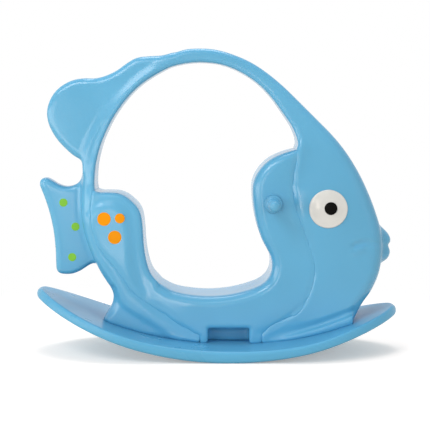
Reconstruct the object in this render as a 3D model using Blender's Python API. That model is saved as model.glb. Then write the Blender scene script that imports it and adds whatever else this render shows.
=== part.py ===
"""Rocking fish: a hollow moulded ride-on toy.

A horseshoe fish body and a seat cradle stand side by side on a curved rocker board.
Metres, +Z up, +X towards the fish's nose, origin on the floor below the middle.
"""
import math

import bmesh
import bpy
import numpy as np
from mathutils import Matrix, Vector
from mathutils.geometry import delaunay_2d_cdt

# General sizes
WALL = 0.005                 # thickness of the moulded skins
GAP = 0.0003                 # clearance between pieces that touch
LEVEL_BLEND = 0.075          # reach over which stated half widths blend
NEAREST_SHARE = 0.9          # how much the nearest stated half width leads that blend
PAD_REACH = 1.7              # a flat pad has blended away at this many of its radii
SIDES = ("right", "left")

# How finely the forms are divided
SAMPLE = 0.023               # spacing of points along a moulded outline
CORE_SAMPLE = 0.034          # spacing along the hollow inside a moulding
SKIN_GRID = 0.050            # spacing of points across a moulded side
CORE_GRID = 0.070
PLATE_GRID = 0.060
ROW_KEPT = 0.93              # a row of edge points keeps those this near their full inset
ROW_THINNED = 0.35           # and drops points closer than this share of the spacing
CORE_SLACK = 0.00015         # how far short of the wall a point of a hollow's outline may lie
CORE_THINNED = 0.6
SKIN_TURNS = [math.radians(a) for a in (48, 90)]     # rows of points round a moulded edge
CORE_TURNS = [math.radians(90)]
ROUND_TURNS = [math.radians(a) for a in (35, 65)]    # rows round a small domed end
SMOOTHING_ROUNDS = 3         # how often edge sizes are averaged along an outline
EYE_SIDES = 30
DISC_SIDES = 20              # sides of the spots, the pupils and their pockets
BOLT_SIDES = 12
BORE_SIDES = 16

# Rocker board
BOARD_HALF_LENGTH = 0.5070
BOARD_X = -0.0017            # middle of the board's plan
BOARD_HALF_WIDTH = 0.2245
BOARD_THICKNESS = 0.033      # at the middle
BOARD_END_THICKNESS = 0.0255
BOARD_TAPER = 0.330          # distance from the middle over which it thins
BOARD_END = 0.297            # length of the rounded plan at each end
BOARD_END_POWER = 0.645      # 0.5 gives an ellipse, more a more pointed end
BOARD_TIP_TURNS = [math.radians(a) for a in (35, 62, 82)]
BOARD_SECTION = [math.radians(a) for a in (90, 45, 0, -45, -90)]
BOARD_STEP = 0.026           # spacing of the cross-sections
TIP_LEFT = 0.15              # share of its thickness that the last section keeps
REAR_RADIUS = 0.880          # radius of the underside behind its lowest point
FRONT_RADIUS = 0.944         # and in front of it
ROCKER_LOW_X = 0.031         # where the underside touches the floor
REST_DEPTH = 0.0009          # how much of the curve is cut flat there to rest on
EASE_START = 0.300           # distance from the low point where the ends ease off
REAR_EASE = 0.146            # how strongly the rear end eases off, per metre
FRONT_EASE = 0.404           # the same for the front end

# Seat cradle
CRADLE_EDGE = 0.026
CRADLE_BACK_WIDTH = 0.034    # soft shoulder round the backrest panel, across
CRADLE_BACK_DROP = 0.014     # and its depth
SEAM_EDGE = 0.008            # rounding along the joint with the body
TAB_REAR_X = -0.047          # the tab of the cradle that stands on the board
TAB_FRONT_X = 0.122
TAB_HEIGHT = 0.022
FOOTWELL_X = 0.031           # middle of the foot recess
FOOTWELL_LENGTH = 0.112
FOOTWELL_HEIGHT = 0.042
FOOTWELL_INNER_Y = 0.050     # how far from the middle plane the recess ends
FOOTWELL_OUTER_Y = 0.130     # clear of the cradle's side
FOOTWELL_EDGE = 0.010

# Fish body
ARCH_EDGE = 0.020
HEAD_EDGE = 0.050
REAR_EDGE = 0.030
BASE_EDGE = 0.005
FIN_HALF = 0.031
FIN_EDGE = 0.016
TAIL_HALF = 0.031
TAIL_EDGE = 0.015
LIPS_HALF = 0.046
LIPS_EDGE = 0.024

# Eyes
EYE_X = 0.302
EYE_Z = 0.403
EYE_RADIUS = 0.0525
EYE_PROUD = 0.011
EYE_RIM = 0.006              # width of the rounding round the eye
EYE_RIM_TURNS = [math.radians(a) for a in (0, 45, 90)]
EYE_CROWN = (0.7, 0.35)      # rows across the domed face, as shares of its radius
EYE_SEAT = 0.003             # depth of the pocket that the eye sits in
EYE_STEM_RADIUS = 0.009
EYE_STEM_LENGTH = 0.016
EYE_LEVEL = 0.106            # half width of the head at the eye
EYE_PAD = 0.062              # radius kept flat round the eye
PUPIL_RADIUS = 0.0175
PUPIL_SHIFT = (0.006, 0.002)
PUPIL_SEAT = 0.004
PUPIL_PROUD = 0.004

# Coloured spots: place x, z and radius
TAIL_SPOTS = [(-0.426, 0.415, 0.0115), (-0.393, 0.348, 0.0115), (-0.403, 0.263, 0.0115)]
SIDE_SPOTS = [(-0.309, 0.374, 0.0185), (-0.266, 0.376, 0.0135), (-0.280, 0.324, 0.0185)]
SPOT_SEAT = 0.0025
SPOT_PROUD = 0.0010
SPOT_RIM = 0.0003            # height of the straight rim above the surface
SPOT_PAD = 1.4               # radii of flat surface kept round a spot
SIDE_LEVEL = 0.090           # half width of the cradle at its spots

# Handle
HANDLE_X = 0.153
HANDLE_Z = 0.416
ROD_RADIUS = 0.008
HANDLE_LEVEL = 0.100         # half width of the cradle at the handle
HANDLE_PAD = 0.036
GRIP_LENGTH = 0.105
GRIP_RADIUS = 0.0150
GRIP_FLANGE_RADIUS = 0.025
GRIP_FLANGE_THICKNESS = 0.006
GRIP_FLANGE_EDGE = 0.002
GRIP_SWELL = 0.0025          # how much the grip swells towards its middle
GRIP_ROWS = (0.3, 0.7, 0.95)  # where its swell is followed, as shares of its length
GRIP_DOME = 0.009            # length of the rounded end
GRIP_END_WALL = 0.008

# Fasteners: where their axes cross the board's underside
BODY_BOLTS = [(-0.215, 0.045), (-0.215, -0.045), (0.285, 0.050), (0.285, -0.050)]
CRADLE_BOLTS = [(0.000, 0.0), (0.075, 0.0)]
BOLT_RADIUS = 0.004
BOLT_LENGTH = 0.050
HEAD_RADIUS = 0.0065
HEAD_HEIGHT = 0.0055
WASHER_RADIUS = 0.009
WASHER_THICKNESS = 0.0016
COUNTERBORE_DEPTH = 0.009
BOSS_RADIUS = 0.017
INSERT_RADIUS = 0.007
INSERT_LENGTH = 0.022
INSERT_SEAT = 0.006          # how far the insert lies above the board's top
FASTENER_EDGE = 0.001        # chamfer on bolt heads and the plug
VENT_X = -0.120
VENT_RADIUS = 0.007
VENT_SINK = 0.0008           # how far the plug lies inside the underside

# Outlines in x, z
REAR_EDGE_LINE = [(-0.316, 0.103), (-0.301, 0.119), (-0.288, 0.147), (-0.291, 0.176),
                  (-0.325, 0.231), (-0.351, 0.287), (-0.366, 0.335), (-0.374, 0.385),
                  (-0.375, 0.440), (-0.371, 0.500)]
ARCH_OUTER_LINE = [(-0.371, 0.500), (-0.371, 0.535), (-0.360, 0.573), (-0.338, 0.620),
                   (-0.311, 0.665), (-0.275, 0.710), (-0.236, 0.748), (-0.191, 0.783),
                   (-0.140, 0.815), (-0.093, 0.835), (-0.045, 0.839), (0.000, 0.835),
                   (0.045, 0.822), (0.091, 0.802), (0.136, 0.773), (0.182, 0.735),
                   (0.226, 0.692)]
HEAD_LINE = [(0.226, 0.692), (0.273, 0.645), (0.319, 0.598), (0.357, 0.550), (0.391, 0.494),
             (0.419, 0.434), (0.438, 0.383), (0.450, 0.341), (0.455, 0.300), (0.452, 0.257),
             (0.443, 0.215), (0.424, 0.173), (0.399, 0.137), (0.373, 0.114)]
SEAM_FRONT_LINE = [(0.124, 0.062), (0.150, 0.082), (0.186, 0.099), (0.220, 0.116),
                   (0.243, 0.148), (0.260, 0.190), (0.267, 0.230), (0.264, 0.263),
                   (0.254, 0.296), (0.239, 0.338), (0.221, 0.381), (0.209, 0.428),
                   (0.206, 0.468), (0.211, 0.508), (0.217, 0.540), (0.219, 0.565)]
ARCH_INNER_LINE = [(0.219, 0.565), (0.219, 0.588), (0.205, 0.624), (0.179, 0.663),
                   (0.145, 0.709), (0.107, 0.746), (0.060, 0.776), (0.009, 0.795),
                   (-0.046, 0.801), (-0.095, 0.796), (-0.140, 0.782), (-0.216, 0.734),
                   (-0.273, 0.668), (-0.311, 0.597), (-0.330, 0.536), (-0.336, 0.490),
                   (-0.337, 0.453)]
SEAM_REAR_LINE = [(-0.337, 0.453), (-0.345, 0.424), (-0.346, 0.384), (-0.338, 0.334),
                  (-0.318, 0.289), (-0.288, 0.252), (-0.262, 0.215), (-0.232, 0.175),
                  (-0.187, 0.141), (-0.145, 0.113), (-0.100, 0.083), (-0.070, 0.066),
                  (-0.049, 0.058)]
BACKREST_LINE = [(-0.337, 0.453), (-0.325, 0.446), (-0.300, 0.446), (-0.272, 0.444),
                 (-0.252, 0.436), (-0.233, 0.421), (-0.217, 0.403), (-0.208, 0.380),
                 (-0.204, 0.345), (-0.201, 0.300), (-0.194, 0.257), (-0.181, 0.221),
                 (-0.156, 0.193)]
SEAT_LINE = [(-0.156, 0.193), (-0.120, 0.174), (-0.070, 0.164), (-0.020, 0.161),
             (0.030, 0.165), (0.075, 0.175), (0.108, 0.186)]
CONSOLE_LINE = [(0.108, 0.186), (0.131, 0.200), (0.146, 0.222), (0.150, 0.247),
                (0.146, 0.271), (0.135, 0.293), (0.122, 0.318), (0.111, 0.350),
                (0.102, 0.391), (0.097, 0.435), (0.098, 0.470), (0.112, 0.503),
                (0.141, 0.534), (0.179, 0.553), (0.219, 0.565)]
FIN_LINE = [(-0.371, 0.532), (-0.394, 0.543), (-0.420, 0.565), (-0.446, 0.594),
            (-0.465, 0.629), (-0.471, 0.662), (-0.465, 0.691), (-0.450, 0.718),
            (-0.427, 0.739), (-0.398, 0.753), (-0.367, 0.758), (-0.334, 0.758),
            (-0.304, 0.766), (-0.275, 0.780), (-0.247, 0.800), (-0.221, 0.814),
            (-0.190, 0.818), (-0.153, 0.820), (-0.122, 0.825)]
FIN_ROOT_LINE = [(-0.122, 0.825), (-0.125, 0.808), (-0.160, 0.785), (-0.200, 0.757),
                 (-0.247, 0.713), (-0.290, 0.665), (-0.325, 0.604), (-0.348, 0.548),
                 (-0.371, 0.532)]
TAIL_LINE = [(-0.318, 0.254), (-0.334, 0.246), (-0.350, 0.243), (-0.365, 0.234),
             (-0.384, 0.222), (-0.408, 0.214), (-0.436, 0.215), (-0.448, 0.224),
             (-0.450, 0.245), (-0.451, 0.285), (-0.456, 0.335), (-0.466, 0.384),
             (-0.480, 0.429), (-0.491, 0.457), (-0.494, 0.470), (-0.487, 0.481),
             (-0.474, 0.484), (-0.458, 0.476), (-0.438, 0.464), (-0.416, 0.459),
             (-0.393, 0.465), (-0.377, 0.479), (-0.368, 0.501)]
TAIL_ROOT_LINE = [(-0.368, 0.501), (-0.357, 0.480), (-0.359, 0.430), (-0.358, 0.384),
                  (-0.350, 0.338), (-0.332, 0.294), (-0.318, 0.254)]
LIPS_LINE = [(0.440, 0.352), (0.453, 0.349), (0.465, 0.340), (0.476, 0.328), (0.483, 0.313),
             (0.481, 0.302), (0.474, 0.295), (0.481, 0.285), (0.481, 0.272), (0.474, 0.258),
             (0.460, 0.249), (0.440, 0.244)]
LIPS_ROOT_LINE = [(0.440, 0.244), (0.400, 0.262), (0.390, 0.298), (0.400, 0.334),
                  (0.440, 0.352)]

# Half width of each moulding at places x, z
BODY_HALF = [(-0.350, 0.540, 0.055), (-0.300, 0.685, 0.054), (-0.150, 0.800, 0.053),
             (0.020, 0.815, 0.053), (0.140, 0.745, 0.055), (0.215, 0.665, 0.061),
             (0.262, 0.600, 0.074), (0.300, 0.535, 0.090), (0.225, 0.545, 0.080),
             (0.240, 0.460, 0.101), (0.340, 0.470, 0.102), (0.400, 0.400, 0.098),
             (0.240, 0.350, 0.108), (0.330, 0.300, 0.108), (0.410, 0.300, 0.100),
             (0.320, 0.210, 0.106), (0.390, 0.190, 0.095), (0.300, 0.120, 0.102),
             (0.170, 0.070, 0.100), (-0.360, 0.440, 0.070), (-0.355, 0.350, 0.078),
             (-0.325, 0.270, 0.085), (-0.285, 0.200, 0.092), (-0.240, 0.120, 0.096),
             (-0.120, 0.065, 0.101)]
CRADLE_HALF = [(-0.320, 0.430, 0.086), (-0.230, 0.410, 0.087), (-0.300, 0.350, SIDE_LEVEL),
               (-0.230, 0.280, 0.093), (-0.200, 0.190, 0.099), (-0.100, 0.120, 0.104),
               (0.040, 0.120, 0.105), (0.160, 0.140, 0.104), (0.210, 0.250, 0.102),
               (0.150, 0.350, HANDLE_LEVEL), (0.130, 0.470, 0.096), (0.190, 0.530, 0.088)]

# Colours: red, green, blue
FISH_BLUE = (0.19, 0.45, 0.70)
EYE_WHITE = (0.72, 0.71, 0.67)
PUPIL_BLACK = (0.006, 0.006, 0.006)
SPOT_GREEN = (0.22, 0.52, 0.08)
SPOT_ORANGE = (0.81, 0.30, 0.006)
STEEL = (0.60, 0.61, 0.62)
BRASS = (0.62, 0.45, 0.18)


def clear_scene():
    for old in list(bpy.data.objects):
        bpy.data.objects.remove(old, do_unlink=True)


def material(name, colour, roughness, metallic=0.0):
    made = bpy.data.materials.get(name)
    if made is None:
        made = bpy.data.materials.new(name)
        made.use_nodes = True
        shader = made.node_tree.nodes["Principled BSDF"]
        shader.inputs["Base Color"].default_value = (*colour, 1.0)
        shader.inputs["Roughness"].default_value = roughness
        shader.inputs["Metallic"].default_value = metallic
    return made


def new_object(name, mesh_data, finish=None, smooth_angle=math.radians(40)):
    """Link a bmesh to the scene as a named object with consistent outward faces."""
    bmesh.ops.recalc_face_normals(mesh_data, faces=mesh_data.faces)
    mesh = bpy.data.meshes.new(name)
    mesh_data.to_mesh(mesh)
    mesh_data.free()
    if finish:
        mesh.materials.append(finish)
    mesh.shade_smooth()
    mesh.set_sharp_from_angle(angle=smooth_angle)
    made = bpy.data.objects.new(name, mesh)
    bpy.context.scene.collection.objects.link(made)
    return made


def as_cutter(piece):
    piece.hide_render = True
    piece.display_type = "WIRE"
    return piece


def boolean(target, tool, operation):
    """Cut, join or keep the overlap with a helper object that stays out of the model."""
    as_cutter(tool)
    step = target.modifiers.new(tool.name, "BOOLEAN")
    step.operation = operation
    step.solver = "EXACT"
    step.object = tool
    return target


# Curves

def spline(points, spacing):
    """Points about one spacing apart on a smooth curve through the given ones."""
    given = np.array(points, dtype=float)
    ends = np.vstack([2 * given[0] - given[1], given, 2 * given[-1] - given[-2]])
    fine = []
    for p0, p1, p2, p3 in zip(ends[:-3], ends[1:-2], ends[2:-1], ends[3:]):
        for t in np.linspace(0.0, 1.0, 12, endpoint=False):
            fine.append(0.5 * (2 * p1 + (p2 - p0) * t + (2 * p0 - 5 * p1 + 4 * p2 - p3) * t * t
                               + (3 * p1 - p0 - 3 * p2 + p3) * t ** 3))
    fine = np.array(fine + [given[-1]])
    along = np.concatenate([[0.0], np.cumsum(np.linalg.norm(np.diff(fine, axis=0), axis=1))])
    count = max(1, round(along[-1] / spacing))
    places = np.linspace(0.0, along[-1], count + 1)
    return np.column_stack([np.interp(places, along, fine[:, k]) for k in range(2)])


def side_step(line, distance):
    """The open line moved by a distance to its left, corner by corner."""
    step = np.diff(line, axis=0)
    step /= np.linalg.norm(step, axis=1)[:, None]
    left = np.column_stack([-step[:, 1], step[:, 0]])
    before = np.vstack([left[:1], left])
    after = np.vstack([left, left[-1:]])
    middle = before + after
    middle /= np.linalg.norm(middle, axis=1)[:, None]
    stretch = np.clip(np.sum(middle * after, axis=1), 0.5, 1.0)
    return line + middle * (distance / stretch)[:, None]


def outline(*runs):
    """Join runs of (points, edge width, edge drop) into one closed outline."""
    rows = []
    for points, width, drop in runs:
        for x, z in points[:-1]:
            rows.append((x, z, width, drop))
    rows = np.array(rows)
    area = np.sum(rows[:, 0] * np.roll(rows[:, 1], -1) - np.roll(rows[:, 0], -1) * rows[:, 1])
    if area < 0:
        rows = rows[::-1].copy()
    for _ in range(SMOOTHING_ROUNDS):
        for k in (2, 3):
            rows[:, k] = (np.roll(rows[:, k], 1) + 2 * rows[:, k] + np.roll(rows[:, k], -1)) / 4
    return rows


def to_outline(loop, places):
    """For each place, its distance to the outline, the edge width there and the edge's drop."""
    end = np.roll(loop, -1, axis=0)
    run = end[:, :2] - loop[:, :2]
    length2 = np.maximum(np.sum(run * run, axis=1), 1e-12)
    offset = places[:, None, :] - loop[None, :, :2]
    t = np.clip(np.sum(offset * run[None], axis=2) / length2[None], 0.0, 1.0)
    gap = np.linalg.norm(offset - t[..., None] * run[None], axis=2)
    width = loop[None, :, 2] * (1 - t) + end[None, :, 2] * t
    depth = loop[None, :, 3] * (1 - t) + end[None, :, 3] * t
    lean = np.clip(1.0 - gap / width, 0.0, 1.0)
    drop = np.max(depth * (1.0 - np.sqrt(1.0 - lean * lean)), axis=1)
    best = np.argmin(gap, axis=1)
    rows = np.arange(len(places))
    return gap[rows, best], width[rows, best], drop


def inward(loop, distance):
    """Outline points moved inwards by a distance, one per point."""
    before = loop[:, :2] - np.roll(loop[:, :2], 1, axis=0)
    after = np.roll(loop[:, :2], -1, axis=0) - loop[:, :2]
    before /= np.linalg.norm(before, axis=1)[:, None]
    after /= np.linalg.norm(after, axis=1)[:, None]
    normal = np.column_stack([-(before + after)[:, 1], (before + after)[:, 0]])
    normal /= np.maximum(np.linalg.norm(normal, axis=1), 1e-9)[:, None]
    lean = np.clip(normal[:, 0] * -after[:, 1] + normal[:, 1] * after[:, 0], 0.5, 1.0)
    return loop[:, :2] + normal * (np.broadcast_to(distance, len(loop)) / lean)[:, None]


def inset(loop, distance, spacing):
    """The outline of the hollow inside a skin of the given thickness."""
    moved = inward(loop, distance)
    gap, _, _ = to_outline(loop, moved)
    clear = gap > distance - CORE_SLACK
    kept = moved[clear]
    edge = np.maximum(loop[clear, 2:] - distance, distance / 4)
    chosen = [0]
    for k in range(1, len(kept)):
        if np.linalg.norm(kept[k] - kept[chosen[-1]]) > CORE_THINNED * spacing:
            chosen.append(k)
    return np.column_stack([kept, edge])[chosen]


def inside(loop, places):
    """Which places lie within the outline."""
    x, z = places[:, 0][:, None], places[:, 1][:, None]
    x1, z1 = loop[:, 0][None], loop[:, 1][None]
    x2, z2 = np.roll(loop[:, 0], -1)[None], np.roll(loop[:, 1], -1)[None]
    crosses = (z1 > z) != (z2 > z)
    rise = np.where(z2 == z1, 1.0, z2 - z1)
    at = x1 + (z - z1) * (x2 - x1) / rise
    return np.sum(crosses & (x < at), axis=1) % 2 == 1


def level(places, table, pads=()):
    """Half width at each place, blended between the stated ones and flat on the pads."""
    stated = np.array(table)
    gap = np.linalg.norm(places[:, None] - stated[None, :, :2], axis=2)
    gap = gap - NEAREST_SHARE * gap.min(axis=1)[:, None]
    weight = np.exp(-(gap / LEVEL_BLEND) ** 2)
    half = np.sum(weight * stated[:, 2], axis=1) / np.sum(weight, axis=1)
    for x, z, radius, value in pads:
        away = np.linalg.norm(places - np.array([x, z]), axis=1)
        share = np.clip((PAD_REACH - away / radius) / (PAD_REACH - 1), 0.0, 1.0)
        share = share * share * (3 - 2 * share)
        half = half * (1 - share) + value * share
    return half


# Moulded forms

def pillow(name, loop, half_at, turns, interior, finish=None):
    """A closed form with the given side outline, half width and rounded edges."""
    rim = loop[:, :2]
    rings = []
    for turn in turns:
        width = loop[:, 2] * (1 - math.cos(turn))
        moved = inward(loop, width)
        gap, _, _ = to_outline(loop, moved)
        keep = (gap > ROW_KEPT * width) & inside(loop, moved)
        thinned = []
        for place in moved[keep]:
            if all(np.linalg.norm(place - other) > ROW_THINNED * SAMPLE for other in thinned[-3:]):
                thinned.append(place)
        rings.extend(thinned)
    low, high = rim.min(axis=0), rim.max(axis=0)
    grid = []
    for row, z in enumerate(np.arange(low[1], high[1], interior * math.cos(math.radians(30)))):
        shift = interior / 2 * (row % 2)
        grid.extend((x + shift, z) for x in np.arange(low[0], high[0], interior))
    grid = np.array(grid)
    grid = grid[inside(loop, grid)]
    gap, width, _ = to_outline(loop, grid)
    grid = grid[gap > width + interior / 2]
    places = [Vector(p) for p in np.vstack([rim, np.array(rings).reshape(-1, 2), grid])]
    count = len(rim)
    found = delaunay_2d_cdt(places, [], [list(range(count))], 1, 1e-7)
    flat = np.array([tuple(v) for v in found[0]])
    half = half_at(flat) - to_outline(loop, flat)[2]
    form = bmesh.new()
    front = [form.verts.new((x, -y, z)) for (x, z), y in zip(flat, half)]
    back = [form.verts.new((x, y, z)) for (x, z), y in zip(flat, half)]
    border = {}
    for face in found[2]:
        form.faces.new([front[k] for k in face])
        form.faces.new([back[k] for k in reversed(face)])
        for a, b in zip(face, face[1:] + face[:1]):
            border[(a, b)] = border.get((a, b), 0) + 1
    for a, b in list(border):
        if (b, a) not in border:
            form.faces.new([front[b], front[a], back[a], back[b]])
    return new_object(name, form, finish)


def moulding(name, loop, half_at, finish):
    """The outer form of a moulding and the hollow inside it."""
    outer = pillow(name, loop, half_at, SKIN_TURNS, SKIN_GRID, finish)
    core_loop = inset(loop, WALL, CORE_SAMPLE)
    core = pillow(name + "_core", core_loop, lambda p: half_at(p) - WALL, CORE_TURNS, CORE_GRID)
    return outer, as_cutter(core)


def turned(name, profile, sides, finish=None):
    """A round solid about +Y from (radius, y) pairs that start and end on the axis."""
    form = bmesh.new()
    rings = []
    for radius, y in profile:
        if radius <= 0:
            rings.append([form.verts.new((0.0, y, 0.0))])
            continue
        angles = [2 * math.pi * k / sides for k in range(sides)]
        rings.append([form.verts.new((radius * math.cos(a), y, radius * math.sin(a)))
                      for a in angles])
    for one, two in zip(rings[:-1], rings[1:]):
        for k in range(sides):
            a, b = one[k % len(one)], one[(k + 1) % len(one)]
            c, d = two[(k + 1) % len(two)], two[k % len(two)]
            corners = list(dict.fromkeys([a, b, c, d]))
            form.faces.new(corners)
    return new_object(name, form, finish)


def cylinder(name, radius, start, end, sides=BORE_SIDES):
    return turned(name, [(0, start), (radius, start), (radius, end), (0, end)], sides)


def block(name, low, high):
    form = bmesh.new()
    bmesh.ops.create_cube(form, size=1.0)
    size = Vector(high) - Vector(low)
    middle = (Vector(high) + Vector(low)) / 2
    for vert in form.verts:
        vert.co = Vector([vert.co[k] * size[k] + middle[k] for k in range(3)])
    return new_object(name, form)


def placed(piece, x, z, side):
    """Put a piece made for the left side at x, z, mirrored in y if it goes on the right."""
    if side == "right":
        piece.data.transform(Matrix.Diagonal((1, -1, 1, 1)))
        piece.data.flip_normals()
    piece.matrix_world = Matrix.Translation((x, 0, z))
    return piece


# Rocker board

def underside(x):
    """Height of the board's curved underside, before the rest face is cut flat at the floor."""
    rear = x < ROCKER_LOW_X
    radius = REAR_RADIUS if rear else FRONT_RADIUS
    ease = REAR_EASE if rear else FRONT_EASE
    away = abs(x - ROCKER_LOW_X)
    return away ** 2 / (2 * radius) - REST_DEPTH - ease * max(0.0, away - EASE_START) ** 2


def rest_ends():
    """Where the flat rest face starts and ends along the board."""
    return (ROCKER_LOW_X - math.sqrt(2 * REAR_RADIUS * REST_DEPTH),
            ROCKER_LOW_X + math.sqrt(2 * FRONT_RADIUS * REST_DEPTH))


def board_thickness(x):
    """Thickness at x, drawn down smoothly from the middle to the ends."""
    share = min(1.0, abs(x - BOARD_X) / BOARD_TAPER)
    share = share * share * (3 - 2 * share)
    return BOARD_THICKNESS - (BOARD_THICKNESS - BOARD_END_THICKNESS) * share


def board_normal(x):
    """Upward direction square to the board, as x and z."""
    small = 0.001
    slope = (underside(x + small) - underside(x - small)) / (2 * small)
    length = math.hypot(1.0, slope)
    return -slope / length, 1.0 / length


def board_stations(step=BOARD_STEP):
    """Places of the board's cross-sections, closer together at the rounded tips."""
    tip = BOARD_END_THICKNESS / 2
    straight = BOARD_HALF_LENGTH - tip
    rear_end, front_end = BOARD_X - straight, BOARD_X + straight
    rest_start, rest_end = rest_ends()
    rear = np.linspace(rear_end, rest_start, round((rest_start - rear_end) / step) + 1)
    front = np.linspace(rest_end, front_end, round((front_end - rest_end) / step) + 1)
    ends = [tip * math.sin(turn) for turn in BOARD_TIP_TURNS]
    return ([rear_end - x for x in reversed(ends)] + list(rear) + list(front)
            + [front_end + x for x in ends])


def plan_half_width(x, shrink):
    """Half width of the board's plan at x, drawn in by shrink all round."""
    reach = BOARD_HALF_LENGTH - shrink
    start = BOARD_HALF_LENGTH - BOARD_END
    share = max(0.0, abs(x - BOARD_X) - start) / (reach - start)
    return (BOARD_HALF_WIDTH - shrink) * max(0.0, 1.0 - share * share) ** BOARD_END_POWER


def board_form(name, shrink, finish=None):
    """The board, or with a shrink the hollow inside it."""
    form = bmesh.new()
    end_tip = BOARD_END_THICKNESS / 2
    straight = BOARD_HALF_LENGTH - end_tip
    rings = []
    for x in board_stations(2 * BOARD_STEP if shrink else BOARD_STEP):
        x = BOARD_X + (x - BOARD_X) * (BOARD_HALF_LENGTH - shrink) / BOARD_HALF_LENGTH
        tip = board_thickness(x) / 2
        beyond = max(0.0, abs(x - BOARD_X) - (straight - shrink)) / end_tip
        thick = (tip - shrink) * math.sqrt(max(TIP_LEFT ** 2, 1.0 - beyond ** 2))
        wide = max(plan_half_width(x, shrink), (1 + TIP_LEFT) * thick)
        nx, nz = board_normal(x)
        places = [(wide - thick + thick * math.cos(turn), tip + thick * math.sin(turn))
                  for turn in BOARD_SECTION]
        ring = []
        for y, up in places + [(-y, up) for y, up in reversed(places)]:
            height = underside(x) + nz * up
            ring.append(form.verts.new((x + nx * up, y, height if shrink else max(0.0, height))))
        rings.append(ring)
    for one, two in zip(rings[:-1], rings[1:]):
        for k in range(len(one)):
            j = (k + 1) % len(one)
            form.faces.new([one[k], one[j], two[j], two[k]])
    form.faces.new(rings[0])
    form.faces.new(list(reversed(rings[-1])))
    return new_object(name, form, finish)


def board_top_line(start, end, lift):
    """The board's top between two places, with its own corners, raised by lift."""
    tops = []
    for x in board_stations():
        nx, nz = board_normal(x)
        tops.append((x + nx * board_thickness(x), underside(x) + nz * board_thickness(x)))
    tops = np.array(tops)
    margin = BOARD_STEP / 6
    between = tops[(tops[:, 0] > start + margin) & (tops[:, 0] < end - margin)]
    ends = [(x, np.interp(x, tops[:, 0], tops[:, 1])) for x in (start, end)]
    line = np.vstack([ends[:1], between, ends[1:]])
    line[:, 1] += lift
    return line


def on_board(piece, x, y):
    """Put a piece turned about +Y square on the board's underside."""
    nx, nz = board_normal(x)
    frame = Matrix(((nz, nx, 0, x), (0, 0, -1, y), (-nx, nz, 0, underside(x)), (0, 0, 0, 1)))
    piece.matrix_world = frame
    return piece


# Outlines of the mouldings

def body_loop(rear_seam, front_seam):
    heel = board_top_line(REAR_EDGE_LINE[0][0], TAB_REAR_X - GAP, GAP)
    toe = board_top_line(TAB_FRONT_X + GAP, HEAD_LINE[-1][0], GAP)
    rear = spline([tuple(heel[0])] + REAR_EDGE_LINE[1:], SAMPLE)
    head = spline(HEAD_LINE[:-1] + [tuple(toe[-1])], SAMPLE)
    rear_seam = np.vstack([side_step(rear_seam, -GAP / 2)[:-1], heel[-1:]])
    front_seam = np.vstack([toe[:1], side_step(front_seam, -GAP / 2)[1:]])
    inner = np.vstack([front_seam[-1:], spline(ARCH_INNER_LINE, SAMPLE)[1:-1], rear_seam[:1]])
    return outline((rear, REAR_EDGE, REAR_EDGE),
                   (spline(ARCH_OUTER_LINE, SAMPLE), ARCH_EDGE, ARCH_EDGE),
                   (head, HEAD_EDGE, HEAD_EDGE), (toe[::-1], BASE_EDGE, BASE_EDGE),
                   (front_seam, SEAM_EDGE, SEAM_EDGE), (inner, ARCH_EDGE, ARCH_EDGE),
                   (rear_seam, SEAM_EDGE, SEAM_EDGE), (heel[::-1], BASE_EDGE, BASE_EDGE))


def cradle_loop(rear_seam, front_seam):
    foot = board_top_line(TAB_REAR_X, TAB_FRONT_X, GAP)
    rear_seam = np.vstack([side_step(rear_seam, GAP / 2)[:-1], foot[:1]])
    front_seam = np.vstack([foot[-1:], side_step(front_seam, GAP / 2)[1:]])
    back = np.vstack([rear_seam[:1], spline(BACKREST_LINE, SAMPLE)[1:]])
    console = np.vstack([spline(CONSOLE_LINE, SAMPLE)[:-1], front_seam[-1:]])
    return outline((back, CRADLE_BACK_WIDTH, CRADLE_BACK_DROP),
                   (spline(SEAT_LINE, SAMPLE), CRADLE_EDGE, CRADLE_EDGE),
                   (console, CRADLE_EDGE, CRADLE_EDGE),
                   (front_seam[::-1], SEAM_EDGE, SEAM_EDGE),
                   (foot[::-1], BASE_EDGE, BASE_EDGE),
                   (rear_seam[::-1], SEAM_EDGE, SEAM_EDGE))


def seam_lines():
    """The joint between body and cradle, down to the board at each side of the tab."""
    rear_foot = board_top_line(TAB_REAR_X, TAB_FRONT_X, 0.0)
    rear = spline(SEAM_REAR_LINE[:-1] + [(TAB_REAR_X, rear_foot[0][1] + TAB_HEIGHT)], SAMPLE)
    front = spline([(TAB_FRONT_X, rear_foot[-1][1] + TAB_HEIGHT)] + SEAM_FRONT_LINE[1:], SAMPLE)
    return np.vstack([rear, rear_foot[:1]]), np.vstack([rear_foot[-1:], front])


def body_level(places):
    return level(places, BODY_HALF, [(EYE_X, EYE_Z, EYE_PAD, EYE_LEVEL)])


def cradle_level(places):
    pads = [(x, z, SPOT_PAD * radius, SIDE_LEVEL) for x, z, radius in SIDE_SPOTS]
    pads.append((HANDLE_X, HANDLE_Z, HANDLE_PAD, HANDLE_LEVEL))
    return level(places, CRADLE_HALF, pads)


# Pieces

def pocket(target, name, x, z, radius, side, floor, roof, sides=DISC_SIDES):
    hole = cylinder(f"{name}_{side}", radius, floor, roof, sides)
    boolean(target, placed(hole, x, z, side), "DIFFERENCE")


def bolt_hole(target, name, x, y, radius, start, end):
    hole = cylinder(name, radius, start, end)
    boolean(target, on_board(hole, x, y), "DIFFERENCE")


def boss(core, name, x, y, start, end):
    post = cylinder(name, BOSS_RADIUS, start, end)
    boolean(core, on_board(post, x, y), "DIFFERENCE")


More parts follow.
